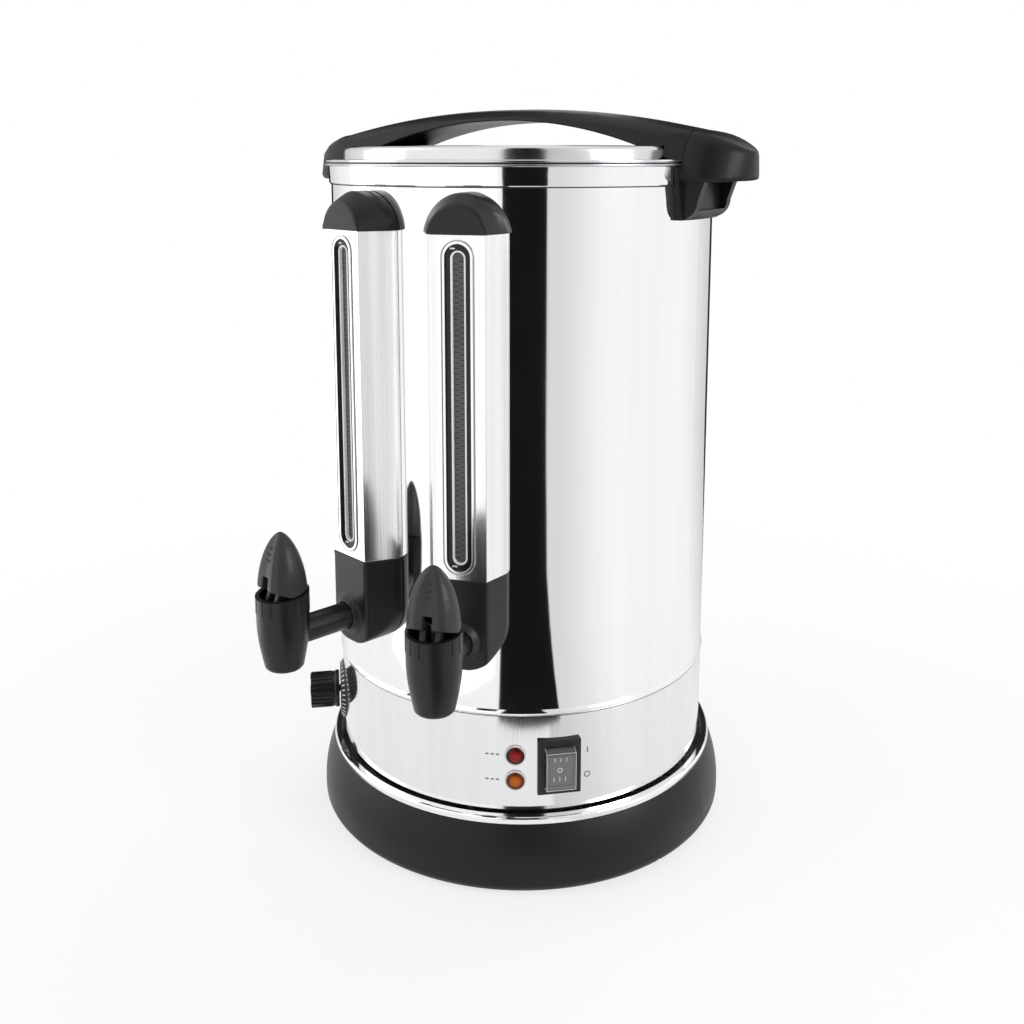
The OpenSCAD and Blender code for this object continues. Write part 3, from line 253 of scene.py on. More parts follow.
STRIPE_TURNS = (-10.5, 13.5)
card("stripe_card", 0.008, STRIPE_TURNS, near=0.4)
card("stripe_foot_card", 0.008, STRIPE_TURNS, near=0.4, far=0.8, height=0.01, widened=(0.5, 5.5),
     lift=0.003)
card("right_pale_card", 0.74, (13.5, 52), fades=(CRISP, SOFT))
card("right_shade_card", 0.66, (104, 150), fades=(SOFT, CRISP))
card("right_edge_card", 0.02, (150, 171))
card("left_shade_card", 0.7, (-150, -115), fades=(CRISP, SOFT))
card("left_edge_card", 0.02, (-171, -150))
card("left_bright_card", 1.9, (-112, -74), near=0.6, height=1.5)
card("front_bright_card", 1.15, (-74, -13), near=0.5)

# --- base skirt, bottom plate and feet ---
# The skirt is one matt charcoal moulding that carries the urn and hides its feet. A vented steel
# plate closes it below, and four rubber feet are screwed through the plate.

SOCKETS = {"colour": "NodeSocketColor", "number": "NodeSocketFloat",
           "direction": "NodeSocketVector"}


def shared_effect(name, takes, gives):
    """An empty node group with named sockets, and the two functions for its tree."""
    group = bpy.data.node_groups.new(name, "ShaderNodeTree")
    for socket, kind, value in takes:
        entry = group.interface.new_socket(socket, in_out="INPUT", socket_type=SOCKETS[kind])
        entry.default_value = value
    for socket, kind in gives:
        group.interface.new_socket(socket, in_out="OUTPUT", socket_type=SOCKETS[kind])
    return group, *node_tools(group)


NOISE_SPAN = (0.3, 0.7)


def noise_between(add, link, noise, low, high):
    """A noise's values, most of which lie in the noise span, moved to lie from low to high."""
    moved = spread(add, *NOISE_SPAN, low, high)
    link(noise.outputs[0], moved.inputs["Value"])
    return moved.outputs[0]


def all_channels(link, source, colour):
    """Feeds one value to the three channels of a colour."""
    for channel in ("Red", "Green", "Blue"):
        link(source, colour.inputs[channel])


# Moulded plastic: a fine spark-eroded grain, and a slow change of tone and gloss from its flow.
FLOW_SCALE = 26.0
FLOW_TONE = (0.86, 1.14)
FLOW_GLOSS = (1.1, 0.9)
grain, add, link = shared_effect(
    "moulded_grain",
    [("Colour", "colour", (0.02, 0.02, 0.02, 1)), ("Roughness", "number", 0.4),
     ("Fineness", "number", 1800.0)],
    [("Colour", "colour"), ("Roughness", "number"), ("Height", "number")])
entry, leave, place = add("NodeGroupInput"), add("NodeGroupOutput"), add("ShaderNodeTexCoord")
fine = add("ShaderNodeTexNoise", Detail=3.0, Roughness=0.6)
slow = add("ShaderNodeTexNoise", Scale=FLOW_SCALE, Detail=2.0)
tone = add("ShaderNodeMix", data_type="RGBA", blend_type="MULTIPLY", Factor=1.0)
gloss = add("ShaderNodeMath", operation="MULTIPLY")
grey = add("ShaderNodeCombineColor")
link(place.outputs["Object"], fine.inputs["Vector"])
link(place.outputs["Object"], slow.inputs["Vector"])
link(entry.outputs["Fineness"], fine.inputs["Scale"])
all_channels(link, noise_between(add, link, slow, *FLOW_TONE), grey)
link(entry.outputs["Colour"], tone.inputs["A"])
link(grey.outputs[0], tone.inputs["B"])
link(entry.outputs["Roughness"], gloss.inputs[0])
link(noise_between(add, link, slow, *FLOW_GLOSS), gloss.inputs[1])
link(tone.outputs["Result"], leave.inputs["Colour"])
link(gloss.outputs[0], leave.inputs["Roughness"])
link(fine.outputs[0], leave.inputs["Height"])

RELIEF_DEPTH = 0.0002


def place_effect(add, link, group, shader, relief, **values):
    """Puts a shared effect in a material and links its colour, roughness and height to a shader."""
    effect = add("ShaderNodeGroup", node_tree=group)
    for socket, value in values.items():
        effect.inputs[socket].default_value = value
    bump = add("ShaderNodeBump", Strength=relief, Distance=RELIEF_DEPTH)
    link(effect.outputs["Colour"], shader.inputs["Base Color"])
    link(effect.outputs["Roughness"], shader.inputs["Roughness"])
    link(effect.outputs["Height"], bump.inputs["Height"])
    link(bump.outputs["Normal"], shader.inputs["Normal"])


def moulding(name, colour, roughness, relief=0.25, fineness=1800.0, shine=0.28):
    """A moulded plastic or rubber."""
    material = bpy.data.materials.new(name)
    add, link = emptied(material)
    shader = add("ShaderNodeBsdfPrincipled", IOR=1.5, **{"Specular IOR Level": shine})
    link(shader.outputs[0], add("ShaderNodeOutputMaterial").inputs[0])
    place_effect(add, link, grain, shader, relief, Colour=(*colour, 1), Roughness=roughness,
                 Fineness=fineness)
    return material


# Steel and other metals: the fine parallel lines that rolling, spinning or brushing leaves, broader
# bands between them, and faint wipe marks.
WIPE_SCALE = 9.0
BAND_SCALE = 0.09
BAND_DEPTH = 1.2
LINE_GLOSS = (0.8, 1.2)
WIPE_GLOSS = (0.75, 1.25)
lines, add, link = shared_effect(
    "metal_lines",
    [("Colour", "colour", (0.8, 0.8, 0.8, 1)), ("Roughness", "number", 0.2),
     ("Depth of tone", "number", 0.1), ("Spacing", "direction", (900.0, 900.0, 6.0)),
     ("Spun", "number", 0.0)],
    [("Colour", "colour"), ("Roughness", "number"), ("Height", "number")])
entry, leave, place = add("NodeGroupInput"), add("NodeGroupOutput"), add("ShaderNodeTexCoord")

# Spun metal takes its distance from the urn's axis in place of the spot itself.
flat = add("ShaderNodeVectorMath", operation="MULTIPLY")
flat.inputs[1].default_value = (1, 1, 0)
reach = add("ShaderNodeVectorMath", operation="LENGTH")
around = add("ShaderNodeCombineXYZ")
way = add("ShaderNodeMix", data_type="VECTOR")
straight_spot, spun_spot, chosen_spot = way.inputs[4], way.inputs[5], way.outputs[1]
drawn = add("ShaderNodeVectorMath", operation="MULTIPLY")
link(place.outputs["Object"], flat.inputs[0])
link(flat.outputs[0], reach.inputs[0])
link(reach.outputs["Value"], around.inputs["X"])
link(entry.outputs["Spun"], way.inputs["Factor"])
link(place.outputs["Object"], straight_spot)
link(around.outputs[0], spun_spot)
link(chosen_spot, drawn.inputs[0])
link(entry.outputs["Spacing"], drawn.inputs[1])

streak = add("ShaderNodeTexNoise", Scale=1.0, Detail=3.0, Roughness=0.65)
broad = add("ShaderNodeVectorMath", operation="SCALE", Scale=BAND_SCALE)
band = add("ShaderNodeTexNoise", Scale=1.0, Detail=1.0)
wiped = add("ShaderNodeTexNoise", Scale=WIPE_SCALE, Detail=4.0, Distortion=0.6)
link(drawn.outputs[0], streak.inputs["Vector"])
link(drawn.outputs[0], broad.inputs[0])
link(broad.outputs[0], band.inputs["Vector"])
link(place.outputs["Object"], wiped.inputs["Vector"])

total = add("ShaderNodeMath", operation="ADD")
dim = add("ShaderNodeMath", operation="MULTIPLY")
clear = add("ShaderNodeMath", operation="SUBTRACT")
clear.inputs[0].default_value = 1.0
grey = add("ShaderNodeCombineColor")
tone = add("ShaderNodeMix", data_type="RGBA", blend_type="MULTIPLY", Factor=1.0)
link(noise_between(add, link, streak, 0.0, 1.0), total.inputs[0])
link(noise_between(add, link, band, 0.0, BAND_DEPTH), total.inputs[1])
link(total.outputs[0], dim.inputs[0])
link(entry.outputs["Depth of tone"], dim.inputs[1])
link(dim.outputs[0], clear.inputs[1])
all_channels(link, clear.outputs[0], grey)
link(entry.outputs["Colour"], tone.inputs["A"])
link(grey.outputs[0], tone.inputs["B"])

gloss = add("ShaderNodeMath", operation="MULTIPLY")
both = add("ShaderNodeMath", operation="MULTIPLY")
link(noise_between(add, link, streak, *LINE_GLOSS), gloss.inputs[0])
link(noise_between(add, link, wiped, *WIPE_GLOSS), gloss.inputs[1])
link(gloss.outputs[0], both.inputs[0])
link(entry.outputs["Roughness"], both.inputs[1])
link(tone.outputs["Result"], leave.inputs["Colour"])
link(both.outputs[0], leave.inputs["Roughness"])
link(streak.outputs[0], leave.inputs["Height"])

UPRIGHT = (900.0, 900.0, 6.0)
LEVEL = (6.0, 6.0, 900.0)
EVEN = (500.0, 500.0, 500.0)


def metal(name, colour, roughness, run=UPRIGHT, tone=0.1, relief=0.1, spun=0.0):
    """A metal whose fine lines run upright, level, in rings round the urn, or in no direction."""
    material = bpy.data.materials.new(name)
    add, link = emptied(material)
    shader = add("ShaderNodeBsdfPrincipled", Metallic=1.0)
    link(shader.outputs[0], add("ShaderNodeOutputMaterial").inputs[0])
    place_effect(add, link, lines, shader, relief, **{
        "Colour": (*colour, 1), "Roughness": roughness, "Depth of tone": tone, "Spacing": run,
        "Spun": spun})
    return material


def dress(material, *nodes):
    """Gives CAD nodes that stay on show their finish."""
    for node in nodes:
        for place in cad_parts[node].material_slots:
            place.material = material


charcoal = moulding("charcoal_skirt", (0.007, 0.007, 0.0075), 0.4, relief=0.5, fineness=1300.0,
                    shine=0.27)
satin_steel = metal("satin_steel", (0.62, 0.63, 0.65), 0.26, run=LEVEL, tone=0.14)
zinc = metal("zinc_plate", (0.56, 0.57, 0.58), 0.3, run=EVEN, tone=0.2, relief=0.2)
foot_rubber = moulding("foot_rubber", (0.022, 0.022, 0.022), 0.75, relief=0.6, fineness=900.0)
dress(charcoal, "base_skirt")
dress(satin_steel, "bottom_plate")
dress(foot_rubber, "feet")
dress(zinc, "base_screws", "tie_rods")

# --- tank, element and wiring ---
# The drawn steel tank stands on three tie rods. A heat-browned element is brazed to a spreading
# plate under its floor, with a cut-out and a thermostat beside it, and sleeved wires run to a
# terminal block.

element_sheath = metal("element_sheath", (0.34, 0.29, 0.24), 0.4, run=EVEN, tone=0.35, relief=0.3)
spreader = metal("spreader_plate", (0.66, 0.67, 0.69), 0.36, run=EVEN, tone=0.15, relief=0.2)
phenolic = moulding("phenolic_moulding", (0.42, 0.36, 0.26), 0.55, relief=0.4)
copper = metal("copper_tube", (0.66, 0.33, 0.19), 0.25, run=EVEN, tone=0.2)
sleeve = moulding("wire_sleeve", (0.42, 0.05, 0.035), 0.6, relief=0.3)
dress(satin_steel, "inner_tank", "tank_floor")
dress(element_sheath, "heating_element")
dress(spreader, "heat_spreader")
dress(phenolic, "thermal_cutout", "thermostat_body", "terminal_block")
dress(copper, "thermostat_bulb")
dress(sleeve, "wiring")

# --- polished body, housing, collar and ring ---
# Thin stainless sheet, rolled to a cylinder, welded up the back and buffed to a mirror. Housing,
# body and collar lap over each other, and a bright ring covers the joint with the skirt.

mirror_steel = metal("mirror_steel", (0.93, 0.935, 0.95), 0.055, tone=0.025, relief=0.012)
panel_steel = metal("panel_steel", (0.85, 0.855, 0.865), 0.09, tone=0.03, relief=0.02)
dress(mirror_steel, "base_ring", "outer_body", "top_collar")
dress(panel_steel, "lower_housing")


def finish(piece, body, slot, *nodes):
    """Declares a new piece's CAD body and the CAD nodes it stands for. The slot is not used."""
    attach(piece, body)
    if nodes:
        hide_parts(*nodes)


BODY_R = 0.155
SEAM_WIDTH = 0.005
SEAM_FOOT = 0.142
SEAM_HEAD = 0.525
SEAM_THICK = 0.0004
SEAM_PROUD = 0.0001

weld_steel = metal("welded_seam", (0.7, 0.7, 0.71), 0.3, tone=0.25, relief=0.3)
seam = start(bpy.ops.mesh.primitive_plane_add, size=1, rotation=(math.pi / 2, 0, math.pi))
bpy.ops.transform.resize(value=(SEAM_WIDTH, 1, SEAM_HEAD - SEAM_FOOT))
bpy.ops.mesh.subdivide(number_cuts=2)
bpy.ops.mesh.extrude_region_move(TRANSFORM_OT_translate={"value": (0, -SEAM_THICK, 0)})
bpy.ops.mesh.select_all(action="SELECT")
bpy.ops.mesh.normals_make_consistent(inside=False)
bpy.ops.transform.translate(value=(0, BODY_R + SEAM_PROUD, (SEAM_FOOT + SEAM_HEAD) / 2))
finish(settle(seam, "body_seam", weld_steel), "urn", "polished_steel")

# Dark beads in the laps under the collar and at the body's foot paint the shade that falls in each
# lap. The body's foot ends in a rolled hem.
# Each row has a bead's name, its ring's radius and height, its own radius, its finish and its slot.
lap_shade_paint = moulding("painted_lap_shade", (0.03, 0.03, 0.03), 0.5, relief=0.2)
hem_steel = metal("rolled_hem", (0.97, 0.97, 0.975), 0.25, tone=0.03)
BEAD_FLATNESS = 0.8
LAPS = (("painted_lap_shade_collar", 0.1552, 0.5250, 0.0005, lap_shade_paint, "gasket_rubber"),
        ("painted_lap_shade_foot", 0.1550, 0.1351, 0.0003, lap_shade_paint, "gasket_rubber"),
        ("body_hem", 0.1550, 0.1360, 0.0006, hem_steel, "polished_steel"))
for name, reach, level, thick, surface, slot in LAPS:
    bead = start(bpy.ops.mesh.primitive_torus_add, major_segments=256, minor_segments=8,
                 major_radius=reach, minor_radius=thick, location=(0, 0, level))
    bpy.ops.transform.resize(value=(1, 1, BEAD_FLATNESS), center_override=(0, 0, level))
    finish(settle(bead, name, surface), "urn", slot)

# --- mains lead gland ---
# A ribbed black nylon gland at the back of the housing, where the mains lead goes in. It is screwed
# through the housing's wall, and its clamping nut grips the lead.

black = moulding("satin_black", (0.013, 0.013, 0.014), 0.34, relief=0.3)
dress(black, "cord_gland")

# --- lever taps and their valves ---
# Each tap is a black barrel on a threaded shank, closed by a silicone plug that a coil spring holds
# down. The ribbed collar screws on, and the leaf-shaped lever pivots on the stem's cross pin.

MERGE_GAP = 0.000002
FLAT_ANGLE = math.radians(0.6)
EDGE_ANGLE = math.radians(32)
SMOOTH_ANGLE = math.radians(40)


def copy_of(node):
    """A merged copy of a CAD node, open in edit mode and selected all over."""
    leave_edit_mode()
    piece = bpy.data.objects.new(node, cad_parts[node].data.copy())
    scene.collection.objects.link(piece)
    piece.select_set(True)
    bpy.context.view_layer.objects.active = piece
    bpy.ops.mesh.customdata_custom_splitnormals_clear()
    bpy.ops.object.mode_set(mode="EDIT")
    bpy.ops.mesh.select_all(action="SELECT")
    bpy.ops.mesh.remove_doubles(threshold=MERGE_GAP)
    return piece


def shaped(piece, kind, **settings):
    """Applies one modifier to a piece."""
    if piece.mode == "EDIT":
        bpy.ops.object.mode_set(mode="OBJECT")
    bpy.context.view_layer.objects.active = piece
    modifier = piece.modifiers.new(kind.lower(), kind)
    for key, value in settings.items():
        setattr(modifier, key, value)
    bpy.ops.object.modifier_apply(modifier=modifier.name)


def eased(piece, width, segments=2):
    """Rounds a piece's sharp edges."""
    bpy.ops.mesh.select_all(action="SELECT")
    bpy.ops.mesh.dissolve_limited(angle_limit=FLAT_ANGLE)
    shaped(piece, "BEVEL", width=width, segments=segments, limit_method="ANGLE",
           angle_limit=EDGE_ANGLE, miter_outer="MITER_ARC")
    leave_edit_mode()
    piece.select_set(True)
    bpy.ops.object.shade_smooth_by_angle(angle=SMOOTH_ANGLE)
    shaped(piece, "WEIGHTED_NORMAL", keep_sharp=True)


def blended(piece, grain_size, passes, above=-1.0, below=1.0):
    """Recasts a piece as one even skin that is softer between two heights than elsewhere."""
    shaped(piece, "REMESH", mode="VOXEL", voxel_size=grain_size, use_smooth_shade=True)
    shaped(piece, "SMOOTH", factor=0.5, iterations=4)
    soft = piece.vertex_groups.new(name="soft")
    inside = [point.index for point in piece.data.vertices if above < point.co.z < below]
    soft.add(inside, 1.0, "REPLACE")
    shaped(piece, "SMOOTH", factor=0.5, iterations=passes, vertex_group="soft")
    piece.vertex_groups.clear()


def tablet(width, height, thick, softness=0.0, cuts=0):
    """A thin upright plate in front of the plane y = 0, open in edit mode, selected all over."""
    piece = start(bpy.ops.mesh.primitive_plane_add, size=1, rotation=(math.pi / 2, 0, 0))
    bpy.ops.transform.resize(value=(width, 1, height))
    if cuts:
        bpy.ops.mesh.subdivide(number_cuts=cuts)
    bpy.ops.mesh.extrude_region_move(TRANSFORM_OT_translate={"value": (0, -thick, 0)})
    bpy.ops.mesh.select_all(action="SELECT")
    bpy.ops.mesh.normals_make_consistent(inside=False)
    if softness:
        bpy.ops.mesh.bevel(offset=softness, segments=2, affect="EDGES")
    return piece


OUTSIDE = 0.4


def seated(piece, carrier, turn, across, level, sunk=0.0001, spin=0.0):
    """Sets a plate on its carrier's outer face, at a turn, a distance to the right and a height."""
    bpy.ops.object.mode_set(mode="OBJECT")
    angle = math.radians(turn)
    outward = Vector((math.sin(angle), -math.cos(angle), 0))
    rightward = Vector((math.cos(angle), math.sin(angle), 0))
    aim = OUTSIDE * outward + across * rightward + Vector((0, 0, level))
    _, spot, normal, _ = carrier.ray_cast(aim, -outward)
    up = (Vector((0, 0, 1)) - normal * normal.z).normalized()
    side = (-normal).cross(up)
    facing = Matrix((side, -normal, up)).transposed() @ Matrix.Rotation(spin, 3, "Y")
    piece.matrix_world = Matrix.Translation(spot - sunk * normal) @ facing.to_4x4()
    fix_place()
    return piece


def joined(pieces):
    """Makes like pieces one object."""
    leave_edit_mode()
    for piece in pieces:
        piece.select_set(True)
    bpy.context.view_layer.objects.active = pieces[0]
    bpy.ops.object.join()
    return pieces[0]


tap_black = moulding("tap_black", (0.011, 0.011, 0.012), 0.3, relief=0.2)
lever_black = moulding("lever_black", (0.031, 0.031, 0.0325), 0.36, relief=0.25)
silicone = moulding("silicone", (0.6, 0.58, 0.54), 0.45, relief=0.1)
spring_steel = metal("spring_steel", (0.6, 0.6, 0.62), 0.22, run=EVEN, tone=0.12)
nut_brass = metal("nut_brass", (0.74, 0.56, 0.27), 0.25, run=EVEN, tone=0.15)
dress(satin_steel, "valve_stem_left", "valve_stem_right")
dress(silicone, "valve_plug_left", "valve_plug_right", "silicone_seals")
dress(spring_steel, "valve_spring_left", "valve_spring_right")
dress(nut_brass, "shank_nuts")

TAP_TURN = 16.0
SIDES = (("left", -TAP_TURN), ("right", TAP_TURN))
BARREL_EDGE = 0.0008
COLLAR_EDGE = 0.0004
LEVER_GRAIN = 0.00045
LEVER_PASSES = 14
# A plate's size is its width, height and thickness, and the softness of its edges.
RIDGE_SIZE = (0.0064, 0.0013, 0.0009, 0.0003)
RIDGE_PLACES = ((-0.0016, 0.2630), (-0.0018, 0.2672), (-0.0020, 0.2714))

for side, turn in SIDES:
    barrel = copy_of("tap_barrel_" + side)
    eased(barrel, BARREL_EDGE)
    finish(settle(barrel, "barrel_" + side, tap_black, angle=None),
           "urn", "tap_plastic", "tap_barrel_" + side)
    collar = copy_of("tap_collar_" + side)
    eased(collar, COLLAR_EDGE)
    finish(settle(collar, "collar_" + side, tap_black, angle=None),
           "urn", "tap_plastic", "tap_collar_" + side)
    lever = copy_of("tap_lever_" + side)
    blended(lever, LEVER_GRAIN, LEVER_PASSES)
    finish(settle(lever, "lever_" + side, lever_black, angle=60),
           "lever_" + side, "lever_plastic", "tap_lever_" + side)
    ridges = joined([seated(tablet(*RIDGE_SIZE), lever, turn, across, level)
                     for across, level in RIDGE_PLACES])
    finish(settle(ridges, "lever_ridges_" + side, lever_black), "lever_" + side, "lever_plastic")

# --- columns with their sight glasses ---
# A folded cover of upright-brushed aluminium hides each glass tube. A black window with a white
# pill-shaped rim shows the tube and its level scale. A domed cap and a tap block, both black
# mouldings, close the ends.


def see_through(name, colour, alpha, roughness, bending):
    """A clear glass or plastic."""
    material = bpy.data.materials.new(name)
    add, link = emptied(material)
    shader = add("ShaderNodeBsdfPrincipled", Roughness=roughness, IOR=bending, Alpha=alpha,
                 **{"Base Color": (*colour, 1)})
    link(shader.outputs[0], add("ShaderNodeOutputMaterial").inputs[0])
    return material


brushed = metal("brushed_aluminium", (0.985, 0.985, 0.99), 0.22, run=(1400.0, 1400.0, 5.0),
                tone=0.09, relief=0.08)
gloss_black = moulding("gloss_black", (0.014, 0.014, 0.016), 0.14, relief=0.04)
white_rim = moulding("white_rim", (0.9, 0.9, 0.9), 0.35, relief=0.1)
glass = see_through("clear_glass", (0.9, 0.93, 0.93), alpha=0.2, roughness=0.02, bending=1.47)
scale_grey = moulding("scale_grey", (0.115, 0.115, 0.118), 0.4, relief=0.1)
# The window's bead is darker than the cover: its darkness is painted shade round the opening.
bead_painted_shade = metal("bead_painted_shade", (0.5, 0.5, 0.51), 0.3, tone=0.1)
tick_black = moulding("tick_black", (0.05, 0.05, 0.05), 0.5, relief=0.1)
dress(glass, "sight_tube_left", "sight_tube_right")
dress(white_rim, "window_bezels")

COVER_FACE = 0.1812
COVER_EDGE = 0.0005
WINDOW_EDGE = 0.0003
CAP_FOOT = 0.4975
CAP_GRAIN = 0.0006
CAP_PASSES = 36
BLOCK_HEAD = 0.2470
BLOCK_GRAIN = 0.0009
BLOCK_PASSES = 18
STRIP_FRONT = 0.1771
STRIP_FOOT = 0.2610
STRIP_HEAD = 0.4825
STRIP_WIDTH = 0.0104
STRIP_THICK = 0.0008
STRIP_SOFTNESS = 0.0002
STRIP_MIDDLE = (STRIP_FOOT + STRIP_HEAD) / 2
TICK_STEP = 0.0038
TICK_ACROSS = STRIP_WIDTH * 0.23
TICK_SIZE = (STRIP_WIDTH * 0.42, TICK_STEP * 0.2, 0.0001)
TICK_SUNK = 0.00004
SLACK = 0.000001
BEAD_R = 0.0116
BEAD_HALF = 0.1069
BEAD_THICK = 0.0004
LIMIT_SIZE = (0.0036, 0.0011, 0.0002, 0.00008)
LIMIT_ACROSS = -0.0040
LIMIT_LEVELS = (0.4846, 0.2589)

for side, turn in SIDES:
    cover = copy_of("column_cover_" + side)
    eased(cover, COVER_EDGE)
    finish(settle(cover, "cover_" + side, brushed, angle=None),
           "urn", "brushed_aluminium", "column_cover_" + side)
    window = copy_of("sight_window_" + side)
    eased(window, WINDOW_EDGE)
    finish(settle(window, "window_" + side, gloss_black, angle=None),
           "urn", "gloss_black", "sight_window_" + side)
    cap = copy_of("column_cap_" + side)
    blended(cap, CAP_GRAIN, CAP_PASSES, above=CAP_FOOT)
    finish(settle(cap, "cap_" + side, black, angle=60),
           "urn", "black_plastic", "column_cap_" + side)
    block = copy_of("tap_block_" + side)
    blended(block, BLOCK_GRAIN, BLOCK_PASSES, below=BLOCK_HEAD)
    finish(settle(block, "block_" + side, black, angle=60),
           "urn", "black_plastic", "tap_block_" + side)

    strip = tablet(STRIP_WIDTH, STRIP_HEAD - STRIP_FOOT, STRIP_THICK, STRIP_SOFTNESS)
    bpy.ops.transform.translate(value=(0, STRIP_THICK - STRIP_FRONT, STRIP_MIDDLE))
    finish(settle(strip, "level_strip_" + side, scale_grey, turn=turn), "urn", "gloss_black")

    # The scale is a ladder of short printed bars, set left and right by turns.
    bars = tablet(*TICK_SIZE)
    first_bar = (-TICK_ACROSS, TICK_SUNK - STRIP_FRONT, STRIP_FOOT + TICK_STEP)
    bpy.ops.transform.translate(value=first_bar)
    to_second = (TICK_ACROSS * 2, 0, TICK_STEP / 2)
    bpy.ops.mesh.duplicate_move(TRANSFORM_OT_translate={"value": to_second})
    shaped(bars, "ARRAY", count=int((STRIP_HEAD - STRIP_FOOT) / TICK_STEP) - 2,
           use_relative_offset=False, use_constant_offset=True,
           constant_offset_displace=(0, 0, TICK_STEP))
    finish(settle(bars, "level_bars_" + side, tick_black, turn=turn), "urn", "gloss_black")

    # A pressed bead runs round the window's opening: a ring whose two halves are moved apart. Its
    # steel is darker than the cover's: painted shade, the shade line round the opening.
    bead = start(bpy.ops.mesh.primitive_torus_add, major_segments=64, minor_segments=8,
                 major_radius=BEAD_R, minor_radius=BEAD_THICK, rotation=(math.pi / 2, 0, 0))
    for point in bmesh.from_edit_mesh(bead.data).verts:
        point.co.z += BEAD_HALF if point.co.z > -SLACK else -BEAD_HALF
    bpy.ops.transform.translate(value=(0, -COVER_FACE, STRIP_MIDDLE))
    finish(settle(bead, "window_bead_" + side, bead_painted_shade, turn=turn), "urn", "brushed_aluminium")

    limits = joined([seated(tablet(*LIMIT_SIZE), window, turn, LIMIT_ACROSS, level)
                     for level in LIMIT_LEVELS])
    finish(settle(limits, "level_limits_" + side, white_rim), "urn", "white_bezel")

# --- switch, lamps, thermostat knob and their marks ---
# The rocker switch snaps into the housing and works under a clear vinyl boot. Two neon lamps sit in
# pale push-in bezels beside it, and the fluted knob turns on the thermostat's shaft in front of a
# printed dial.

rocker_grey = moulding("rocker_grey", (0.048, 0.048, 0.05), 0.3, relief=0.1)
frame_black = moulding("switch_frame_black", (0.02, 0.02, 0.021), 0.26, relief=0.15)
# Pale grey for the rocker's printed strokes, and for painted highlights along the clear boot's
# edges.
print_and_edge_highlight = moulding("print_and_boot_edge_highlight", (0.6, 0.6, 0.6), 0.4, relief=0.1)
vinyl = see_through("clear_vinyl", (0.75, 0.77, 0.78), alpha=0.1, roughness=0.12, bending=1.45)

SWITCH_TURN = 40.5
CONTROL_LEVEL = 0.095
SWITCH_EDGE = 0.0018
ROCKER_EDGE = 0.0005
RIB_SIZE = (0.00045, 0.0088, 0.00024, 0.00008)
RIB_STEP = 0.0013
RIB_COUNT = 7
RIB_LEVELS = (0.0890, 0.1016)
STROKE_SIZE = (0.0008, 0.0036, 0.0005, 0.0001)
STROKE_PLACES = (-0.0044, 0.0, 0.0044)
STROKE_LEVELS = (0.1032, 0.0862)
RING_R = 0.0016
RING_THICK = 0.00035
RING_LEVEL = 0.0935
RING_PROUD = 0.0003

switch = copy_of("switch_frame")
eased(switch, SWITCH_EDGE, segments=4)
finish(settle(switch, "switch_housing", frame_black, angle=None),
       "urn", "black_plastic", "switch_frame")
rocker = copy_of("switch_rocker")
eased(rocker, ROCKER_EDGE)
finish(settle(rocker, "rocker", rocker_grey, angle=None), "rocker", "rocker_black", "switch_rocker")

ribs = joined([seated(tablet(*RIB_SIZE), rocker, SWITCH_TURN, i * RIB_STEP, level)
               for i in range(-RIB_COUNT, RIB_COUNT + 1) for level in RIB_LEVELS])
finish(settle(ribs, "rocker_ribs", rocker_grey), "rocker", "rocker_black")
strokes = joined([seated(tablet(*STROKE_SIZE), rocker, SWITCH_TURN, across, level)
                  for across in STROKE_PLACES for level in STROKE_LEVELS])
finish(settle(strokes, "rocker_strokes", print_and_edge_highlight), "rocker", "white_bezel")
ring = start(bpy.ops.mesh.primitive_torus_add, major_segments=32, minor_segments=8,
             major_radius=RING_R, minor_radius=RING_THICK, rotation=(math.pi / 2, 0, 0))
seated(ring, rocker, SWITCH_TURN, 0.0, RING_LEVEL, sunk=-RING_PROUD)
finish(settle(ring, "rocker_ring", white_rim), "rocker", "white_bezel")

BOOT_WIDTH = 0.0222
BOOT_HEIGHT = 0.0325
BOOT_FACE_HEIGHT = 0.0293
BOOT_DEPTH = 0.0101
BOOT_SUNK = 0.0002
BOOT_EDGE = 0.0005
BOOT_HIGHLIGHT_LINE = 0.0006

boot = copy_of("switch_boot")
eased(boot, BOOT_EDGE)
finish(settle(boot, "rocker_boot", vinyl, angle=None), "urn", "clear_vinyl", "switch_boot")
# Pale grey wire along the boot's edges is a painted highlight, the light that its clear vinyl edges
# catch.
edges = start(bpy.ops.mesh.primitive_cube_add, size=1)
bpy.ops.transform.resize(value=(BOOT_WIDTH, BOOT_DEPTH, BOOT_HEIGHT))
for corner in bmesh.from_edit_mesh(edges.data).verts:
    if corner.co.y < 0:
        corner.co.z *= BOOT_FACE_HEIGHT / BOOT_HEIGHT
bpy.ops.transform.translate(value=(0, BOOT_SUNK - BODY_R - BOOT_DEPTH / 2, CONTROL_LEVEL))
shaped(edges, "WIREFRAME", thickness=BOOT_HIGHLIGHT_LINE)
finish(settle(edges, "boot_edge_highlights", print_and_edge_highlight, turn=SWITCH_TURN), "urn", "clear_vinyl")

LAMP_TURN = 28.4
LAMP_R = 0.0068
LAMP_STEM_R = 0.0062
LAMP_SEAT = 0.1554
LAMP_TAIL = 0.137
LAMP_LEVELS = {"red": 0.1045, "amber": 0.0843}
# Each lens has two colours: a painted highlight colour for its middle and a painted shade colour
# for its rim.
LENS_LIT_AND_SHADED_COLOURS = {"red": ((0.36, 0.008, 0.010), (0.035, 0.002, 0.002)),
                "amber": ((0.62, 0.13, 0.004), (0.10, 0.020, 0.002))}
LENS_LIT_MIDDLE_R = 0.003
LENS_LIP = 0.0009
LENS_STEPS = ((0.0005, 0.0005), (0.0009, 0.0004), (0.0014, 0.0004), (0.0016, 0.0002))
PRISM_SCALE = 900.0
PRISM_DEPTH = 0.0003
PRISM_GLINT_TONE = 0.45
BEZEL_EDGE = 0.0003


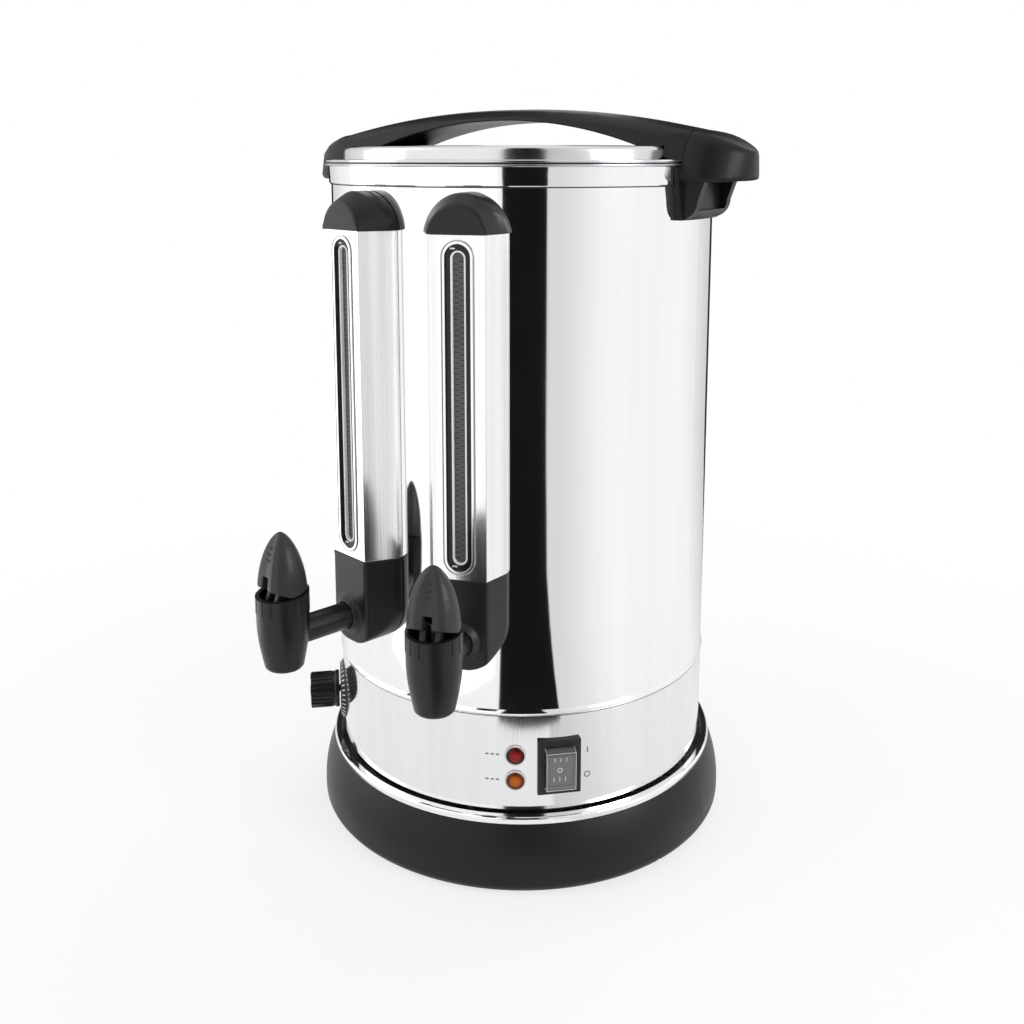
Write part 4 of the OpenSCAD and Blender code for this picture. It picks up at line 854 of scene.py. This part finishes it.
def lens_plastic(name, lit_colour, shaded_colour, level):
    """A coloured lens with moulded prisms, whose colour holds painted light: a painted highlight in
    its middle, painted shade towards its rim, and painted glints from the prisms.
    """
    material = bpy.data.materials.new(name)
    add, link = emptied(material)
    shader = add("ShaderNodeBsdfPrincipled", Roughness=0.16, IOR=1.49,
                 **{"Specular IOR Level": 0.3})
    place = add("ShaderNodeTexCoord")
    off_middle = add("ShaderNodeVectorMath", operation="DISTANCE")
    angle = math.radians(LAMP_TURN)
    off_middle.inputs[1].default_value = (
        LAMP_SEAT * math.sin(angle), -LAMP_SEAT * math.cos(angle), level)
    # The colour darkens from the middle to the rim as painted shade, and each prism cell adds a
    # painted glint.
    rim = spread(add, LENS_LIT_MIDDLE_R, LAMP_R, interpolation_type="SMOOTHSTEP")
    prisms_and_glints = add("ShaderNodeTexVoronoi", Scale=PRISM_SCALE)
    spark = add("ShaderNodeMath", operation="MULTIPLY_ADD")
    spark.inputs[1].default_value = PRISM_GLINT_TONE
    tone = add("ShaderNodeMix", data_type="RGBA", clamp_factor=True)
    tone.inputs["A"].default_value = (*lit_colour, 1)
    tone.inputs["B"].default_value = (*shaded_colour, 1)
    bump = add("ShaderNodeBump", Strength=0.35, Distance=PRISM_DEPTH)
    link(place.outputs["Object"], off_middle.inputs[0])
    link(off_middle.outputs["Value"], rim.inputs["Value"])
    link(place.outputs["Object"], prisms_and_glints.inputs["Vector"])
    link(prisms_and_glints.outputs["Distance"], spark.inputs[0])
    link(rim.outputs[0], spark.inputs[2])
    link(spark.outputs[0], tone.inputs["Factor"])
    link(tone.outputs["Result"], shader.inputs["Base Color"])
    link(prisms_and_glints.outputs["Distance"], bump.inputs["Height"])
    link(bump.outputs["Normal"], shader.inputs["Normal"])
    link(shader.outputs[0], add("ShaderNodeOutputMaterial").inputs[0])
    return material


for hue, (lit_colour, shaded_colour) in LENS_LIT_AND_SHADED_COLOURS.items():
    level = LAMP_LEVELS[hue]
    lens = start(bpy.ops.mesh.primitive_cylinder_add, vertices=32, radius=LAMP_STEM_R,
                 depth=LAMP_SEAT - LAMP_TAIL, rotation=(math.pi / 2, 0, 0))
    bpy.ops.mesh.select_mode(type="FACE")
    bpy.ops.mesh.select_all(action="DESELECT")
    for face in bmesh.from_edit_mesh(lens.data).faces:
        face.select_set(face.normal.y < -0.9)
    bpy.ops.mesh.extrude_region_move(TRANSFORM_OT_translate={"value": (0, 0, 0)})
    bpy.ops.transform.resize(value=(LAMP_R / LAMP_STEM_R, 1, LAMP_R / LAMP_STEM_R))
    bpy.ops.mesh.extrude_region_move(TRANSFORM_OT_translate={"value": (0, -LENS_LIP, 0)})
    for width, rise in LENS_STEPS:
        bpy.ops.mesh.inset(thickness=width, depth=rise)
    bpy.ops.mesh.select_all(action="SELECT")
    bpy.ops.transform.translate(value=(0, -(LAMP_SEAT + LAMP_TAIL) / 2, level))
    tinted = lens_plastic(hue + "_lens", lit_colour, shaded_colour, level)
    finish(settle(lens, "lens_" + hue, tinted, angle=20, turn=LAMP_TURN),
           "urn", hue + "_lens", hue + "_lamp")
bezels = copy_of("lamp_bezels")
eased(bezels, BEZEL_EDGE)
pale_trim = moulding("lamp_bezel", (0.72, 0.65, 0.62), 0.22, relief=0.05)
finish(settle(bezels, "bezels", pale_trim, angle=None), "urn", "pale_bezel", "lamp_bezels")

print_grey = moulding("print_grey", (0.2, 0.2, 0.2), 0.5, relief=0.1)
PRINT_THICK = 0.00008
DASH_SIZE = (0.0026, 0.0011)
DASH_PLACES = (-0.0135, -0.0175, -0.0215)
SIGN_ACROSS = 0.0225
ON_SIZE = (0.0010, 0.0046)
ON_LEVEL = 0.1050
OFF_R = 0.0021
OFF_THICK = 0.0005
OFF_FLATNESS = 0.16
OFF_LEVEL = 0.0850


def printed(pieces, name, turn):
    """Bends flat printed marks round the housing."""
    marks = joined(pieces)
    for point in marks.data.vertices:
        reach = BODY_R - point.co.y
        around = math.radians(turn) + point.co.x / BODY_R
        point.co = (reach * math.sin(around), -reach * math.cos(around), point.co.z)
    finish(settle(marks, name, print_grey), "urn", "gloss_black")


def flat_mark(width, height, across, level):
    """One printed stroke of a mark, before it is bent."""
    mark = tablet(width, height, PRINT_THICK, cuts=3)
    bpy.ops.transform.translate(value=(across, 0, level))
    bpy.ops.object.mode_set(mode="OBJECT")
    return mark


for hue, level in LAMP_LEVELS.items():
    printed([flat_mark(*DASH_SIZE, across, level) for across in DASH_PLACES],
            "mark_bars_" + hue, LAMP_TURN)
printed([flat_mark(*ON_SIZE, SIGN_ACROSS, ON_LEVEL)], "mark_on", SWITCH_TURN)
off_ring = start(bpy.ops.mesh.primitive_torus_add, major_segments=40, minor_segments=8,
                 major_radius=OFF_R, minor_radius=OFF_THICK, rotation=(math.pi / 2, 0, 0))
bpy.ops.transform.resize(value=(1, OFF_FLATNESS, 1))
bpy.ops.transform.translate(value=(SIGN_ACROSS, 0, OFF_LEVEL))
printed([off_ring], "mark_off", SWITCH_TURN)

KNOB_TURN = -50.0
KNOB_R = 0.0145
KNOB_END = 0.183
KNOB_EDGE = 0.0006
FLUTE_COUNT = 24
FLUTE_LENGTH = 0.0182
FLUTE_SIZE = (0.0016, FLUTE_LENGTH, 0.0005, 0.0004)
FLUTE_SUNK = 0.0001
FLUTE_SETBACK = 0.0002
knob_black = moulding("knob_black", (0.014, 0.014, 0.015), 0.24, relief=0.1)
bright_trim = metal("bright_trim", (0.86, 0.86, 0.88), 0.12, run=EVEN, tone=0.05, relief=0.03)
dress(bright_trim, "knob_ring")

knob = copy_of("thermostat_knob")
eased(knob, KNOB_EDGE)
finish(settle(knob, "knob_body", knob_black, angle=None),
       "knob", "black_plastic", "thermostat_knob")

# The flutes are built round the front's middle, then moved out to the knob and turned with it.
flute = tablet(*FLUTE_SIZE)
bpy.ops.transform.translate(value=(0, FLUTE_SUNK - KNOB_R, 0))
bpy.ops.object.mode_set(mode="OBJECT")
flute.data.transform(Matrix.Rotation(math.pi / 2, 4, "X"))
copies = []
for i in range(FLUTE_COUNT):
    piece = flute.copy()
    piece.data = flute.data.copy()
    scene.collection.objects.link(piece)
    piece.data.transform(Matrix.Rotation(2 * math.pi * i / FLUTE_COUNT, 4, "Y"))
    copies.append(piece)
bpy.data.objects.remove(flute)
flutes = joined(copies)
flutes.location = (0, FLUTE_SETBACK + FLUTE_LENGTH / 2 - KNOB_END, CONTROL_LEVEL)
finish(settle(flutes, "knob_flutes", knob_black, turn=KNOB_TURN), "knob", "black_plastic")

# The dial is a shallow cone with its ticks on the slope and plain numbers on its face.
DIAL_FACE = 0.158
DIAL_R = 0.025
DIAL_FACE_R = 0.0212
DIAL_EDGE = 0.0004
DIAL_SPAN = 150
DIAL_TICKS = 31
DIAL_TICK_R = 0.0230
DIAL_TICK_SIZE = (0.0007, 0.0030, 0.0002)
NUMBERS = ("30", "50", "70", "90", "110")
NUMBER_R = 0.0184
NUMBER_SIZE = 0.0046
NUMBER_THICK = 0.0001

dial = copy_of("dial_plate")
angle = math.radians(KNOB_TURN)
hub = Vector((DIAL_FACE * math.sin(angle), -DIAL_FACE * math.cos(angle), CONTROL_LEVEL))
for point in bmesh.from_edit_mesh(dial.data).verts:
    if (point.co - hub).dot(hub * Vector((1, 1, 0))) > -SLACK:
        point.co = hub + (point.co - hub) * (DIAL_FACE_R / DIAL_R)
eased(dial, DIAL_EDGE)
finish(settle(dial, "dial", black, angle=None), "urn", "black_plastic", "dial_plate")


def spots_on_dial(reach, count):
    """Places round the dial: distance to the right, height and turn about its middle."""
    for i in range(count):
        around = math.radians(-DIAL_SPAN + i * 2 * DIAL_SPAN / (count - 1))
        yield reach * math.sin(around), CONTROL_LEVEL + reach * math.cos(around), around


marks = [seated(tablet(*DIAL_TICK_SIZE), dial, KNOB_TURN, across, level, spin=around)
         for across, level, around in spots_on_dial(DIAL_TICK_R, DIAL_TICKS)]
for number, (across, level, around) in zip(NUMBERS, spots_on_dial(NUMBER_R, len(NUMBERS))):
    bpy.ops.object.select_all(action="DESELECT")
    bpy.ops.object.text_add(rotation=(math.pi / 2, 0, 0))
    sign = bpy.context.object
    sign.data.body = number
    sign.data.size = NUMBER_SIZE
    sign.data.align_x = "CENTER"
    sign.data.align_y = "CENTER"
    sign.data.resolution_u = 3
    sign.data.extrude = NUMBER_THICK
    bpy.ops.object.convert(target="MESH")
    fix_place()
    marks.append(seated(bpy.context.object, dial, KNOB_TURN, across, level, sunk=0.0, spin=around))
finish(settle(joined(marks), "dial_marks", white_rim), "urn", "white_bezel")

# --- side handles ---
# Black phenolic grips stand off the body on both sides. Each is one moulding with a finger bracket
# below, held to the body from inside by two screws.

HANDLE_EDGE = 0.0012
handle_black = moulding("handle_black", (0.008, 0.008, 0.009), 0.34, relief=0.22, shine=0.2)
dress(zinc, "handle_screws")
for side in ("left", "right"):
    grip = copy_of("side_handle_" + side)
    eased(grip, HANDLE_EDGE, segments=3)
    finish(settle(grip, "grip_" + side, handle_black, angle=None),
           "urn", "black_plastic", "side_handle_" + side)

# --- lid with its gasket and grip ---
# The lid is spun from stainless sheet and sits on a dark rubber gasket. Its arched grip is one
# black moulding that spans the lid and is screwed to it at both ends.

lid_steel = metal("lid_steel", (0.73, 0.735, 0.745), 0.15, run=(500.0, 1.0, 1.0), tone=0.08,
                  relief=0.04, spun=1.0)
gasket = moulding("gasket_rubber", (0.02, 0.02, 0.02), 0.6, relief=0.3)
dress(gasket, "lid_gasket")
dress(lid_steel, "lid_shell")
dress(zinc, "lid_screws")
arch = copy_of("lid_handle")
eased(arch, HANDLE_EDGE, segments=3)
finish(settle(arch, "lid_grip", handle_black, angle=None), "lid", "black_plastic", "lid_handle")
